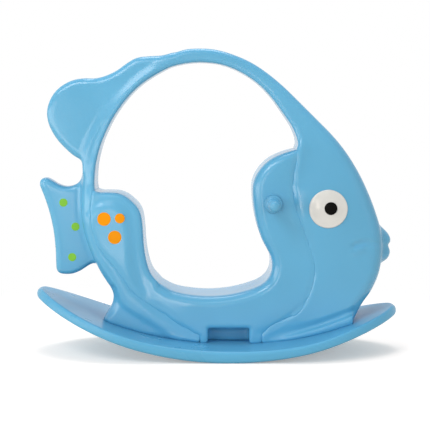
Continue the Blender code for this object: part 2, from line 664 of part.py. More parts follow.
def foot_socket(outer, core, label, bolts):
    """Keep solid posts over the bolts of a moulding and bore them for the inserts."""
    top = BOARD_THICKNESS + INSERT_SEAT + INSERT_LENGTH
    for number, (x, y) in enumerate(bolts, 1):
        boss(core, f"{label}_post_{number}", x, y, 0.0, top + WALL)
    for number, (x, y) in enumerate(bolts, 1):
        bolt_hole(outer, f"{label}_bore_{number}", x, y, INSERT_RADIUS + GAP,
                  board_thickness(x) - WALL, top + GAP)


def plate(name, edge_line, root_line, half, edge, shrink):
    """A fin, tail or lip plate, or with a shrink the hollow inside it."""
    loop = outline((spline(edge_line, SAMPLE), edge, edge), (spline(root_line, SAMPLE), edge, edge))
    if shrink:
        loop = inset(loop, shrink, CORE_SAMPLE)
    turns = CORE_TURNS if shrink else SKIN_TURNS
    return pillow(name, loop, lambda p: np.full(len(p), half - shrink), turns, PLATE_GRID)


def make_body(blue, loop):
    body, core = moulding("fish_body", loop, body_level, blue)
    plates = [("fin", FIN_LINE, FIN_ROOT_LINE, FIN_HALF, FIN_EDGE),
              ("tail", TAIL_LINE, TAIL_ROOT_LINE, TAIL_HALF, TAIL_EDGE),
              ("lips", LIPS_LINE, LIPS_ROOT_LINE, LIPS_HALF, LIPS_EDGE)]
    for name, edge_line, root_line, half, edge in plates:
        boolean(body, plate(name, edge_line, root_line, half, edge, 0.0), "UNION")
        boolean(core, plate(name + "_core", edge_line, root_line, half, edge, WALL), "UNION")
    foot_socket(body, core, "body", BODY_BOLTS)
    boolean(body, core, "DIFFERENCE")
    for side in SIDES:
        pocket(body, "eye_pocket", EYE_X, EYE_Z, EYE_RADIUS + GAP, side,
               EYE_LEVEL - EYE_SEAT, EYE_LEVEL + EYE_PROUD, sides=EYE_SIDES)
        pocket(body, "eye_hole", EYE_X, EYE_Z, EYE_STEM_RADIUS + GAP, side,
               EYE_LEVEL - 3 * WALL, EYE_LEVEL)
        for number, (x, z, radius) in enumerate(TAIL_SPOTS, 1):
            pocket(body, f"tail_pocket_{number}", x, z, radius + GAP, side,
                   TAIL_HALF - SPOT_SEAT, TAIL_HALF + WALL)
    return body


def make_cradle(blue, loop):
    cradle, core = moulding("seat_cradle", loop, cradle_level, blue)
    roof = board_top_line(FOOTWELL_X, FOOTWELL_X + SAMPLE, 0.0)[0][1] + FOOTWELL_HEIGHT
    half = FOOTWELL_LENGTH / 2
    for side in SIDES:
        guard = block("footwell_wall_" + side, (-half - WALL, FOOTWELL_INNER_Y - WALL, -WALL),
                      (half + WALL, FOOTWELL_OUTER_Y, roof + WALL))
        boolean(core, placed(guard, FOOTWELL_X, 0.0, side), "DIFFERENCE")
    foot_socket(cradle, core, "cradle", CRADLE_BOLTS)
    boolean(cradle, core, "DIFFERENCE")
    for side in SIDES:
        well = block("footwell_" + side, (-half, FOOTWELL_INNER_Y, -WALL),
                     (half, FOOTWELL_OUTER_Y, roof))
        rounding = well.modifiers.new("rounding", "BEVEL")
        rounding.width = FOOTWELL_EDGE
        rounding.segments = 2
        boolean(cradle, placed(well, FOOTWELL_X, 0.0, side), "DIFFERENCE")
        pocket(cradle, "rod_hole", HANDLE_X, HANDLE_Z, ROD_RADIUS + GAP, side,
               HANDLE_LEVEL - 3 * WALL, HANDLE_LEVEL + WALL)
        for number, (x, z, radius) in enumerate(SIDE_SPOTS, 1):
            pocket(cradle, f"side_pocket_{number}", x, z, radius + GAP, side,
                   SIDE_LEVEL - SPOT_SEAT, SIDE_LEVEL + WALL)
    return cradle


def make_board(blue):
    board = board_form("rocker_board", 0.0, blue)
    core = board_form("board_core", WALL)
    bolts = BODY_BOLTS + CRADLE_BOLTS
    for number, (x, y) in enumerate(bolts, 1):
        boss(core, f"board_post_{number}", x, y, -WALL, BOARD_THICKNESS + WALL)
    boolean(board, core, "DIFFERENCE")
    wide = WASHER_RADIUS + GAP
    narrow = BOLT_RADIUS + GAP
    over = BOARD_THICKNESS + WALL
    step = [(0, -WALL), (wide, -WALL), (wide, COUNTERBORE_DEPTH), (narrow, COUNTERBORE_DEPTH),
            (narrow, over), (0, over)]
    for number, (x, y) in enumerate(bolts, 1):
        hole = turned(f"board_bore_{number}", step, BORE_SIDES)
        boolean(board, on_board(hole, x, y), "DIFFERENCE")
    bolt_hole(board, "vent_hole", VENT_X, 0.0, VENT_RADIUS + GAP, -WALL, 2 * WALL)
    return board


def make_eye(side, white, black):
    """A domed white disc with a stem, and a pupil let into it."""
    floor = EYE_LEVEL - EYE_SEAT + GAP
    profile = [(0, floor - EYE_STEM_LENGTH), (EYE_STEM_RADIUS, floor - EYE_STEM_LENGTH),
               (EYE_STEM_RADIUS, floor), (EYE_RADIUS, floor)]
    for turn in EYE_RIM_TURNS:
        profile.append((EYE_RADIUS - EYE_RIM * (1 - math.cos(turn)),
                        EYE_LEVEL + EYE_PROUD / 2 * math.sin(turn)))
    for share in EYE_CROWN:
        profile.append(((EYE_RADIUS - EYE_RIM) * share,
                        EYE_LEVEL + EYE_PROUD * (1 - share * share / 2)))
    profile.append((0, EYE_LEVEL + EYE_PROUD))
    eye = placed(turned("eye_" + side, profile, EYE_SIDES, white), EYE_X, EYE_Z, side)
    x, z = EYE_X + PUPIL_SHIFT[0], EYE_Z + PUPIL_SHIFT[1]
    pocket(eye, "pupil_pocket", x, z, PUPIL_RADIUS + GAP, side,
           EYE_LEVEL + EYE_PROUD - PUPIL_SEAT, EYE_LEVEL + 2 * EYE_PROUD)
    seat = EYE_LEVEL + EYE_PROUD - PUPIL_SEAT + GAP
    rim = seat + PUPIL_SEAT
    dome = [(0, seat), (PUPIL_RADIUS, seat), (PUPIL_RADIUS, rim)]
    for turn in ROUND_TURNS:
        dome.append((PUPIL_RADIUS * math.cos(turn), rim + PUPIL_PROUD * math.sin(turn)))
    dome.append((0, rim + PUPIL_PROUD))
    placed(turned("pupil_" + side, dome, DISC_SIDES, black), x, z, side)


def make_spots(kind, spots, surface, finish):
    floor = surface - SPOT_SEAT + GAP
    top = surface + SPOT_PROUD
    for side in SIDES:
        for number, (x, z, radius) in enumerate(spots, 1):
            profile = [(0, floor), (radius, floor), (radius, surface + SPOT_RIM),
                       (radius - SPOT_PROUD, top), (0, top)]
            disc = turned(f"{kind}_spot_{side}_{number}", profile, DISC_SIDES, finish)
            placed(disc, x, z, side)


def make_handle(blue, steel):
    start = HANDLE_LEVEL + GAP
    end = start + GRIP_LENGTH
    blind = end - GRIP_END_WALL
    bar = cylinder("handle_rod", ROD_RADIUS, GAP - blind, blind - GAP)
    bar.data.materials.append(steel)
    placed(bar, HANDLE_X, HANDLE_Z, "left")
    bore = ROD_RADIUS + GAP
    edge = GRIP_FLANGE_EDGE
    flange_end = start + GRIP_FLANGE_THICKNESS
    profile = [(0, blind), (bore, blind), (bore, start), (GRIP_FLANGE_RADIUS - edge, start),
               (GRIP_FLANGE_RADIUS, start + edge), (GRIP_FLANGE_RADIUS, flange_end - edge),
               (GRIP_FLANGE_RADIUS - edge, flange_end), (GRIP_RADIUS, flange_end + edge)]
    for share in GRIP_ROWS:
        profile.append((GRIP_RADIUS + GRIP_SWELL * math.sin(math.pi * share),
                        flange_end + share * (end - GRIP_DOME - flange_end)))
    for turn in ROUND_TURNS:
        profile.append((GRIP_RADIUS * math.cos(turn), end - GRIP_DOME * (1 - math.sin(turn))))
    profile.append((0, end))
    for side in SIDES:
        grip = turned("hand_grip_" + side, profile, DISC_SIDES, blue)
        placed(grip, HANDLE_X, HANDLE_Z, side)


def fasteners(name, bolts, profile, finish):
    """A copy of a turned fastener at each bolt position, all with the same mesh."""
    first = turned(name + "_1", profile, BOLT_SIDES, finish)
    for number, (x, y) in enumerate(bolts, 1):
        single = first
        if number > 1:
            single = bpy.data.objects.new(f"{name}_{number}", first.data)
            bpy.context.scene.collection.objects.link(single)
        on_board(single, x, y)


def make_fasteners(label, bolts, steel, brass):
    under = COUNTERBORE_DEPTH - GAP - WASHER_THICKNESS
    head = under - GAP
    face = head - HEAD_HEIGHT
    end = head + BOLT_LENGTH
    bolt = [(0, face), (HEAD_RADIUS - FASTENER_EDGE, face), (HEAD_RADIUS, face + FASTENER_EDGE),
            (HEAD_RADIUS, head), (BOLT_RADIUS, head), (BOLT_RADIUS, end), (0, end)]
    bore = BOLT_RADIUS + GAP
    washer = [(bore, under), (WASHER_RADIUS, under), (WASHER_RADIUS, under + WASHER_THICKNESS),
              (bore, under + WASHER_THICKNESS), (bore, under)]
    low = BOARD_THICKNESS + INSERT_SEAT
    high = low + INSERT_LENGTH
    insert = [(bore, low), (INSERT_RADIUS, low), (INSERT_RADIUS, high), (bore, high), (bore, low)]
    fasteners(label + "_bolt", bolts, bolt, steel)
    fasteners(label + "_washer", bolts, washer, steel)
    fasteners(label + "_insert", bolts, insert, brass)


def make_vent_plug(blue):
    end = WALL + 2 * FASTENER_EDGE
    profile = [(0, VENT_SINK), (VENT_RADIUS - FASTENER_EDGE, VENT_SINK),
               (VENT_RADIUS, VENT_SINK + FASTENER_EDGE), (VENT_RADIUS, end), (0, end)]
    on_board(turned("vent_plug", profile, BORE_SIDES, blue), VENT_X, 0.0)


def main():
    clear_scene()
    blue = material("fish_blue", FISH_BLUE, 0.22)
    white = material("eye_white", EYE_WHITE, 0.20)
    black = material("pupil_black", PUPIL_BLACK, 0.12)
    green = material("spot_green", SPOT_GREEN, 0.35)
    orange = material("spot_orange", SPOT_ORANGE, 0.35)
    steel = material("zinc_steel", STEEL, 0.35, 1.0)
    brass = material("insert_brass", BRASS, 0.40, 1.0)
    rear_seam, front_seam = seam_lines()
    make_body(blue, body_loop(rear_seam, front_seam))
    make_cradle(blue, cradle_loop(rear_seam, front_seam))
    make_board(blue)
    for side in SIDES:
        make_eye(side, white, black)
    make_spots("tail", TAIL_SPOTS, TAIL_HALF, green)
    make_spots("side", SIDE_SPOTS, SIDE_LEVEL, orange)
    make_handle(blue, steel)
    make_fasteners("body", BODY_BOLTS, steel, brass)
    make_fasteners("cradle", CRADLE_BOLTS, steel, brass)
    make_vent_plug(blue)


main()
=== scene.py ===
"""Looks of the rocking fish: fine moulded surfaces, their plastics and a pale studio."""

import math

import bmesh
import bpy
import numpy as np
import openvdb
from mathutils import Matrix, Vector


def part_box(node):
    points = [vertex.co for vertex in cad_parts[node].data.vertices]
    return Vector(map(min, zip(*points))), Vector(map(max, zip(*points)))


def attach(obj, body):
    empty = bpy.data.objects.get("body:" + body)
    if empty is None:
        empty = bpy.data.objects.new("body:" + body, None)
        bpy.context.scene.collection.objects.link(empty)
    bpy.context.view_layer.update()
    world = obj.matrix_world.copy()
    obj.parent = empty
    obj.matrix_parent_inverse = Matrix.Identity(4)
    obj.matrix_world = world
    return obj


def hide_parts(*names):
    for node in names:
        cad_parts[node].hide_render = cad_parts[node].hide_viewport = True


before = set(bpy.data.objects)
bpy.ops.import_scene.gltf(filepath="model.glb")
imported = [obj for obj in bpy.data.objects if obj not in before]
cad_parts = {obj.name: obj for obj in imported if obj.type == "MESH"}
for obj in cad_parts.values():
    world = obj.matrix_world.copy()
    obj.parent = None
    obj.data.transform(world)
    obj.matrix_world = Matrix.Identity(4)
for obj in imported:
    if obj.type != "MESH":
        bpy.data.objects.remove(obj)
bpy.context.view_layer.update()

# Camera, from the photograph's 430 by 430 frame
FRAME_PIXELS = 430
FOCAL_PIXELS = 1343.6
SENSOR_MM = 36.0
CAMERA_PLACE = (-0.0078, -3.7431, 0.6903)
CAMERA_TARGET = (-0.0060, 0.0, 0.3779)
CAMERA_REACH = 50.0          # nothing further off is seen

# Studio
FLOOR_SIZE = 30.0
FLOOR_SEEN = (0.92, 0.875, 0.85)     # the floor's colour to the camera and in mirrors
FLOOR_BOUNCE = (0.82, 0.70, 0.58)    # and in the light it gives back
FLOOR_GLOW = 0.30            # brightness added to the lit floor where it is seen
FLOOR_CLEAR = (0.75, 1.35)   # the floor turns plain white between these distances
WORLD_LIGHT = 0.42
WORLD_SEEN = 1.0             # the backdrop's brightness to the camera and in mirrors

# Lamps: place, target, width and height, power, colour if not white, False if not mirrored
WHITE = (1.0, 1.0, 1.0)
MIDDLE = (0.0, 0.0, 0.4)
REAR_MIDDLE = (-0.3, 0.0, 0.4)
LAMPS = {
    "key": ((-1.9, -2.6, 2.9), MIDDLE, (1.6, 1.6), 45.0),
    "fill": ((2.8, -2.6, 1.1), MIDDLE, (2.4, 2.0), 33.0, WHITE, False),
    "side": ((-2.5, -2.3, 0.62), MIDDLE, (2.6, 1.2), 32.0, (1.0, 0.92, 0.85)),
    "top": ((0.0, 0.6, 3.6), MIDDLE, (1.9, 1.4), 46.0),
    "sheen": ((-0.54, -3.3, 0.55), (-0.5, 0.0, 0.55), (0.34, 1.1), 6.5, (1.0, 0.88, 0.78)),
    "rim": ((-3.0, -0.5, 0.6), REAR_MIDDLE, (1.6, 1.1), 12.0, (1.0, 0.94, 0.90)),
    "brow": ((-0.5, -3.0, 2.4), REAR_MIDDLE, (0.7, 0.8), 5.0),
    "back": ((0.0, 3.6, 1.8), MIDDLE, (3.0, 2.0), 18.0, WHITE, False),
}

# Making of the moulded surfaces
VOXEL = 0.0039
GRID_MARGIN = 0.016
FIELD_LIMIT = 0.05           # distances past this are cut off before the surface is drawn
SAMPLE = 0.010               # spacing of the points along an outline
SPLINE_STEPS = 12            # fine steps between two given points
EDGE_BLEND = 0.002           # smaller, and an outline's edge values meet more sharply
EDGE_BLEND_POWER = 4         # larger, and a nearer edge value counts for more
EDGE_SMOOTHING = 4           # times that a grid of edge sizes is averaged
LEVEL_BLEND = 0.075          # reach of one stated half width
LEVEL_PULL = 0.9             # share of the closest place's distance that is taken off all
LEVEL_SMOOTHING = 90
JOINT_SMOOTHING = 12
SKIN_SMOOTHING = 4
PAD_REACH = 1.7              # a flat pad has died out at this many of its radii
SHARP_ANGLE = 35.0           # degrees between faces from which an edge is shaded sharp
TINY = 1e-12                 # stands in for the squared length between two equal points

# Rocker board, as the solids have it
BOARD_HALF_LENGTH = 0.5070
BOARD_X = -0.0017
BOARD_HALF_WIDTH = 0.2245
BOARD_THICKNESS = 0.033
BOARD_END_THICKNESS = 0.0255
BOARD_TAPER = 0.330
BOARD_END = 0.297
BOARD_END_POWER = 0.645
REAR_RADIUS = 0.880
FRONT_RADIUS = 0.944
ROCKER_LOW_X = 0.031
REST_DEPTH = 0.0009
EASE_START = 0.300
REAR_EASE = 0.146
FRONT_EASE = 0.404

# Finer form of the board's skin
BOARD_SQUARENESS = 0.62      # 1 gives a half-round edge, less a squarer one
BOARD_STATIONS = 180
BOARD_TIP_TURNS = range(10, 90, 8)
BOARD_EDGE_TURNS = range(90, -91, -10)
BOARD_TIP_LEAST = 0.003      # square of the thinnest section's share of the thickness
BOARD_TIP_WIDTH = 1.05       # least half width of a section, in half thicknesses
TOP_ROWS = 4                 # rows of faces on each half of the board's top
TOP_LINE_REACH = 0.48
TOP_LINE_POINTS = 400
SLOPE_STEP = 0.001

# Seat cradle
CRADLE_REACH = 0.108         # half depth of the cradle's grid
CRADLE_EDGE = 0.026
BACK_RIM = (0.014, 0.010)    # width and drop of the rounding of the backrest's outer edge
PANEL_RISE = 0.0075          # how far the raised panel stands over the band round it
PANEL_SOFTNESS = 0.016
PANEL_FADE = (0.080, 0.225)  # heights between which the panel's step grows to full depth
PANEL_FADE_X = (-0.210, -0.050)      # and places between which it dies out to the front
SEAM_EDGE = (0.0030, 0.0012)         # and of the rounding along the joints
SEAM_LAP = 0.0060            # the two skins run into each other, so the joint is a soft line
SEAM_REACH = 0.022           # the skins come to one level this near to the front joint
VALLEY_DEPTH = 0.0026        # soft valley along the front joint
VALLEY_WIDTH = 0.0054
REAR_STEP = 0.0007           # how far the rear lobes lie below the cradle
REAR_REACH = 0.034
REAR_FADE = (0.39, 0.48)     # heights between which body and cradle part from a common level
REAR_VALLEY_DEPTH = 0.0026   # soft valley along the rear joint
REAR_VALLEY_WIDTH = 0.0105
BEAD_HEIGHT = 0.0022         # bead along the rear lobes' feet
BEAD_WIDTH = 0.0045
BASE_SINK = 0.0012           # the mouldings' feet run a little into the board
GAP = 0.0003                 # between the feet of body and cradle
TAB_REAR_X = -0.047
TAB_FRONT_X = 0.122
TAB_HEIGHT = 0.022
FOOTWELL_X = 0.031
FOOTWELL_LENGTH = 0.112
FOOTWELL_HEIGHT = 0.042
FOOTWELL_INNER_Y = 0.050
FOOTWELL_EDGE = 0.008
FOOTWELL_FILLET = 0.010

# Fish body
ARCH_EDGE = 0.016
ARCH_INNER_EDGE = 0.008
RIDGE_HEIGHT = 0.0045        # the rounded crest that follows the arch's inner edge
RIDGE_WIDTH = 0.0085
HEAD_EDGE_GROWTH = 0.30      # length over which the head's rounding grows from the arch's
HEAD_EDGE = 0.036
REAR_EDGE = 0.030
BASE_EDGE = 0.003
FIN_HALF = 0.050
FIN_TAPER = 0.015            # the fin thins by this much from its root to its tip
FIN_REACH = 0.130            # over this distance from the arch
FIN_EDGE = 0.016
TAIL_HALF = 0.031
TAIL_EDGE = 0.015
LIPS_HALF = 0.046
LIPS_EDGE = 0.024
FIN_FILLET = 0.014
TAIL_FILLET = 0.014
LIPS_FILLET = 0.016
LOBE_STEP = 0.006
LOBE_SOFTNESS = 0.018
FLANGE_HALF = 0.1060         # the foot flange below the head
FLANGE_FADE = 0.008          # how much thinner it gets to the rear
FLANGE_FADE_X = (0.125, 0.215)       # between these places
FLANGE_EDGE = 0.005
FLANGE_FILLET = 0.006
GROOVE_DEPTH = 0.0075        # groove between the head and its foot flange
GROOVE_WIDTH = 0.0085
CREASE_DEPTH = 0.0070
CREASE_WIDTH = 0.0062
FOLD_HEIGHT = 0.0034         # soft fold below the mouth's corner
FOLD_WIDTH = 0.0085

# Eyes and spots, as turned discs with a rounded rim and a domed face
EYE_X = 0.302
EYE_Z = 0.403
EYE_RADIUS = 0.0525
EYE_PROUD = 0.011
EYE_RIM = 0.0045
EYE_LEVEL = 0.106
EYE_PAD = 0.062
BODY_REACH = EYE_LEVEL + 0.004       # half depth of the body's grid
PUPIL_RADIUS = 0.0175
PUPIL_PLACE = (EYE_X + 0.006, EYE_Z + 0.002)
PUPIL_SINK = 0.0006
PUPIL_PROUD = 0.0040
PUPIL_RIM = 0.0016
TAIL_SPOTS = [(-0.426, 0.415, 0.0115), (-0.393, 0.348, 0.0115), (-0.403, 0.263, 0.0115)]
SIDE_SPOTS = [(-0.309, 0.374, 0.0185), (-0.266, 0.376, 0.0135), (-0.280, 0.324, 0.0185)]
SPOT_SINK = 0.0002
SPOT_PROUD = 0.0011
SPOT_RIM = 0.0007
SPOT_PAD = 1.4               # radius of the flat place under a spot, in spot radii
SIDE_LEVEL = 0.090
DISC_ROOT = 0.003            # how far a disc reaches into what it sits on
RIM_STEPS = 8
DOME_STEPS = 12
TURNED_SIDES = 96

# Hand grips, with places along them measured from the console
HANDLE_X = 0.153
HANDLE_Z = 0.416
HANDLE_LEVEL = 0.100
HANDLE_PAD = 0.036
GRIP_SHARE = 0.6             # the grip's radius as a share of its flange's
GRIP_FLANGE = [(-0.003, 0.0), (0.0, 0.003), (0.0, 0.004), (-0.0015, 0.0062)]
GRIP_NECK = [(0.004, 0.0068), (0.001, 0.0085), (-0.0004, 0.0115)]    # past the grip's radius
GROOVES_START = 0.014
GRIP_GROOVES = 9
GROOVE_STEPS = 8
GRIP_GROOVE_DEPTH = 0.0007
GRIP_SWELL = 0.0022          # how much thicker the grip is in its middle
GRIP_DOME = 0.75             # length of the rounded end in grip radii
GRIP_DOME_TURNS = range(0, 90, 10)

# Outlines in x, z, as the solids have them
REAR_EDGE_LINE = [(-0.316, 0.103), (-0.301, 0.119), (-0.288, 0.147), (-0.291, 0.176),
                  (-0.325, 0.231), (-0.351, 0.287), (-0.366, 0.335), (-0.374, 0.385),
                  (-0.375, 0.440), (-0.371, 0.500)]
ARCH_OUTER_LINE = [(-0.371, 0.500), (-0.371, 0.535), (-0.360, 0.573), (-0.338, 0.620),
                   (-0.311, 0.665), (-0.275, 0.710), (-0.236, 0.748), (-0.191, 0.783),
                   (-0.140, 0.815), (-0.093, 0.835), (-0.045, 0.839), (0.000, 0.835),
                   (0.045, 0.822), (0.091, 0.802), (0.136, 0.773), (0.182, 0.735),
                   (0.226, 0.692)]
HEAD_LINE = [(0.226, 0.692), (0.273, 0.645), (0.319, 0.598), (0.357, 0.550), (0.391, 0.494),
             (0.419, 0.434), (0.438, 0.383), (0.450, 0.341), (0.455, 0.300), (0.452, 0.257),
             (0.443, 0.215), (0.424, 0.173), (0.399, 0.137), (0.373, 0.114)]
SEAM_FRONT_LINE = [(0.124, 0.062), (0.150, 0.082), (0.186, 0.099), (0.220, 0.116),
                   (0.243, 0.148), (0.260, 0.190), (0.267, 0.230), (0.264, 0.263),
                   (0.254, 0.296), (0.239, 0.338), (0.221, 0.381), (0.209, 0.428),
                   (0.206, 0.468), (0.211, 0.508), (0.217, 0.540), (0.219, 0.565)]
ARCH_INNER_LINE = [(0.219, 0.565), (0.219, 0.588), (0.205, 0.624), (0.179, 0.663),
                   (0.145, 0.709), (0.107, 0.746), (0.060, 0.776), (0.009, 0.795),
                   (-0.046, 0.801), (-0.095, 0.796), (-0.140, 0.782), (-0.216, 0.734),
                   (-0.273, 0.668), (-0.311, 0.597), (-0.330, 0.536), (-0.336, 0.490),
                   (-0.337, 0.453)]
SEAM_REAR_LINE = [(-0.337, 0.453), (-0.345, 0.424), (-0.346, 0.384), (-0.338, 0.334),
                  (-0.318, 0.289), (-0.288, 0.252), (-0.262, 0.215), (-0.232, 0.175),
                  (-0.187, 0.141), (-0.145, 0.113), (-0.100, 0.083), (-0.070, 0.066),
                  (-0.049, 0.058)]
BACKREST_LINE = [(-0.337, 0.453), (-0.325, 0.446), (-0.300, 0.446), (-0.272, 0.444),
                 (-0.252, 0.436), (-0.233, 0.421), (-0.217, 0.403), (-0.208, 0.380),
                 (-0.204, 0.345), (-0.201, 0.300), (-0.194, 0.257), (-0.181, 0.221),
                 (-0.156, 0.193)]
SEAT_LINE = [(-0.156, 0.193), (-0.120, 0.174), (-0.070, 0.164), (-0.020, 0.161),
             (0.030, 0.165), (0.075, 0.175), (0.108, 0.186)]
CONSOLE_LINE = [(0.108, 0.186), (0.131, 0.200), (0.146, 0.222), (0.150, 0.247),
                (0.146, 0.271), (0.135, 0.293), (0.122, 0.318), (0.111, 0.350),
                (0.102, 0.391), (0.097, 0.435), (0.098, 0.470), (0.112, 0.503),
                (0.141, 0.534), (0.179, 0.553), (0.219, 0.565)]
FIN_LINE = [(-0.371, 0.532), (-0.394, 0.543), (-0.420, 0.565), (-0.446, 0.594),
            (-0.465, 0.629), (-0.471, 0.662), (-0.465, 0.691), (-0.450, 0.718),
            (-0.427, 0.739), (-0.398, 0.753), (-0.367, 0.758), (-0.334, 0.758),
            (-0.304, 0.766), (-0.275, 0.780), (-0.247, 0.800), (-0.221, 0.814),
            (-0.190, 0.818), (-0.153, 0.820), (-0.122, 0.825)]
FIN_ROOT_LINE = [(-0.122, 0.825), (-0.125, 0.808), (-0.160, 0.785), (-0.200, 0.757),
                 (-0.247, 0.713), (-0.290, 0.665), (-0.325, 0.604), (-0.348, 0.548),
                 (-0.371, 0.532)]
TAIL_LINE = [(-0.318, 0.254), (-0.334, 0.246), (-0.350, 0.243), (-0.365, 0.234),
             (-0.384, 0.222), (-0.408, 0.214), (-0.436, 0.215), (-0.448, 0.224),
             (-0.450, 0.245), (-0.451, 0.285), (-0.456, 0.335), (-0.466, 0.384),
             (-0.480, 0.429), (-0.491, 0.457), (-0.494, 0.470), (-0.487, 0.481),
             (-0.474, 0.484), (-0.458, 0.476), (-0.438, 0.464), (-0.416, 0.459),
             (-0.393, 0.465), (-0.377, 0.479), (-0.368, 0.501)]
TAIL_ROOT_LINE = [(-0.368, 0.501), (-0.357, 0.480), (-0.359, 0.430), (-0.358, 0.384),
                  (-0.350, 0.338), (-0.332, 0.294), (-0.318, 0.254)]
LIPS_LINE = [(0.440, 0.352), (0.453, 0.349), (0.465, 0.340), (0.476, 0.328), (0.483, 0.313),
             (0.481, 0.302), (0.474, 0.295), (0.481, 0.285), (0.481, 0.272), (0.474, 0.258),
             (0.460, 0.249), (0.440, 0.244)]
LIPS_ROOT_LINE = [(0.440, 0.244), (0.400, 0.262), (0.390, 0.298), (0.400, 0.334),
                  (0.440, 0.352)]

# Soft steps and the foot flange, which only the looks have
LOBE_LINE = [(-0.282, 0.190), (-0.271, 0.160), (-0.258, 0.136), (-0.229, 0.115),
             (-0.198, 0.098), (-0.160, 0.072), (-0.120, 0.042)]
PANEL_LINE = [(-0.345, 0.385), (-0.335, 0.402), (-0.326, 0.410), (-0.315, 0.416),
              (-0.299, 0.418), (-0.284, 0.416), (-0.268, 0.4085), (-0.256, 0.398),
              (-0.2485, 0.3855), (-0.2445, 0.370), (-0.242, 0.354), (-0.239, 0.333),
              (-0.237, 0.299), (-0.234, 0.247), (-0.224, 0.205), (-0.206, 0.168),
              (-0.180, 0.135), (-0.145, 0.105), (-0.110, 0.078), (-0.080, 0.045)]
FLANGE_LINE = [(0.372, 0.1115), (0.3637, 0.1080), (0.3226, 0.0920), (0.2816, 0.0768),
               (0.2405, 0.0655), (0.1995, 0.0552), (0.160, 0.0465), (0.128, 0.0392)]

# Corners that close the steps' lines on the side that they set apart
PANEL_CORNERS = [(-0.08, 0.0), (-0.42, 0.0), (-0.42, 0.385)]
LOBE_CORNERS = [(-0.12, 0.02), (-0.40, 0.02), (-0.40, 0.19)]

# Creases and ridges in x, z with their strength
MOUTH_CREASE = [(0.366, 0.297, 0.0), (0.375, 0.3025, 1.0), (0.392, 0.307, 1.0),
                (0.410, 0.312, 0.8), (0.440, 0.306, 0.5), (0.478, 0.295, 0.5)]
MOUTH_FOLD = [(0.362, 0.279, 0.0), (0.376, 0.286, 1.0), (0.394, 0.294, 1.0),
              (0.412, 0.299, 0.0)]
BASE_BEAD = [(-0.196, 0.071, 0.0), (-0.179, 0.0656, 0.8), (-0.120, 0.0525, 1.0),
             (-0.051, 0.0420, 1.0)]
FLANGE_GROOVE = [(0.372, 0.1215, 1.0), (0.3637, 0.1175, 1.0), (0.3226, 0.1010, 1.0),
                 (0.2816, 0.0858, 1.0), (0.2405, 0.0740, 0.6), (0.1995, 0.0630, 0.2),
                 (0.160, 0.0560, 0.0)]
RIDGE = [(-0.318, 0.289, 0.0), (-0.332, 0.319, 0.3), (-0.338, 0.362, 0.6),
         (-0.3397, 0.3976, 0.9), (-0.3452, 0.4386, 1.0), (-0.3438, 0.4797, 1.0),
         (-0.3370, 0.5344, 1.0), (-0.3178, 0.5891, 1.0), (-0.2959, 0.6439, 1.0),
         (-0.2603, 0.6986, 1.0), (-0.2357, 0.7260, 1.0), (-0.2083, 0.7534, 0.9),
         (-0.1755, 0.7753, 0.7), (-0.1350, 0.7960, 0.4), (-0.0950, 0.8110, 0.0)]
FRONT_VALLEY = [(0.124, 0.062, 0.7), (0.186, 0.099, 0.8), (0.243, 0.148, 0.9),
                (0.267, 0.230, 0.6), (0.254, 0.296, 0.5), (0.221, 0.381, 0.8),
                (0.209, 0.428, 1.3), (0.206, 0.468, 1.4), (0.211, 0.508, 1.4),
                (0.219, 0.565, 1.2), (0.221, 0.600, 0.8), (0.210, 0.640, 0.0)]
REAR_VALLEY = [(*place, strength) for place, strength in
               zip(SEAM_REAR_LINE[4:], (0.0, 0.15, 0.3, 0.7, 1.0, 1.0, 0.8, 0.6))]

# Half widths at places x, z, close to the solids' own
BODY_HALF = [(-0.350, 0.540, 0.055), (-0.300, 0.685, 0.054), (-0.150, 0.800, 0.053),
             (0.020, 0.815, 0.053), (0.140, 0.745, 0.055), (0.215, 0.665, 0.064),
             (0.262, 0.600, 0.078), (0.300, 0.535, 0.092), (0.225, 0.545, 0.085),
             (0.240, 0.460, 0.105), (0.340, 0.470, 0.102), (0.400, 0.400, 0.098),
             (0.240, 0.350, 0.108), (0.330, 0.300, 0.108), (0.410, 0.300, 0.100),
             (0.320, 0.210, 0.105), (0.390, 0.190, 0.095), (0.300, 0.120, 0.098),
             (0.170, 0.070, 0.097), (-0.360, 0.440, 0.070), (-0.355, 0.350, 0.078),
             (-0.325, 0.270, 0.085), (-0.285, 0.200, 0.092), (-0.240, 0.120, 0.096),
             (-0.120, 0.065, 0.101)]
CRADLE_HALF = [(-0.320, 0.430, 0.086), (-0.230, 0.410, 0.087), (-0.300, 0.350, SIDE_LEVEL),
               (-0.230, 0.280, 0.0925), (-0.200, 0.190, 0.095), (-0.100, 0.120, 0.101),
               (0.040, 0.120, 0.105), (0.160, 0.140, 0.104), (0.210, 0.250, 0.104),
               (0.150, 0.350, HANDLE_LEVEL), (0.130, 0.470, 0.098), (0.195, 0.440, 0.104),
               (0.190, 0.530, 0.095)]

# Colours, linear red, green, blue
FISH_BLUE = (0.096, 0.374, 0.610)
EYE_WHITE = (0.60, 0.622, 0.615)
PUPIL_BLACK = (0.003, 0.003, 0.0025)
SPOT_GREEN = (0.195, 0.500, 0.042)
SPOT_ORANGE = (0.78, 0.280, 0.0)
ZINC = (0.60, 0.61, 0.62)
BRASS = (0.62, 0.45, 0.18)

SIDES = {"right": -1.0, "left": 1.0}     # sign of y


# Curves and distances

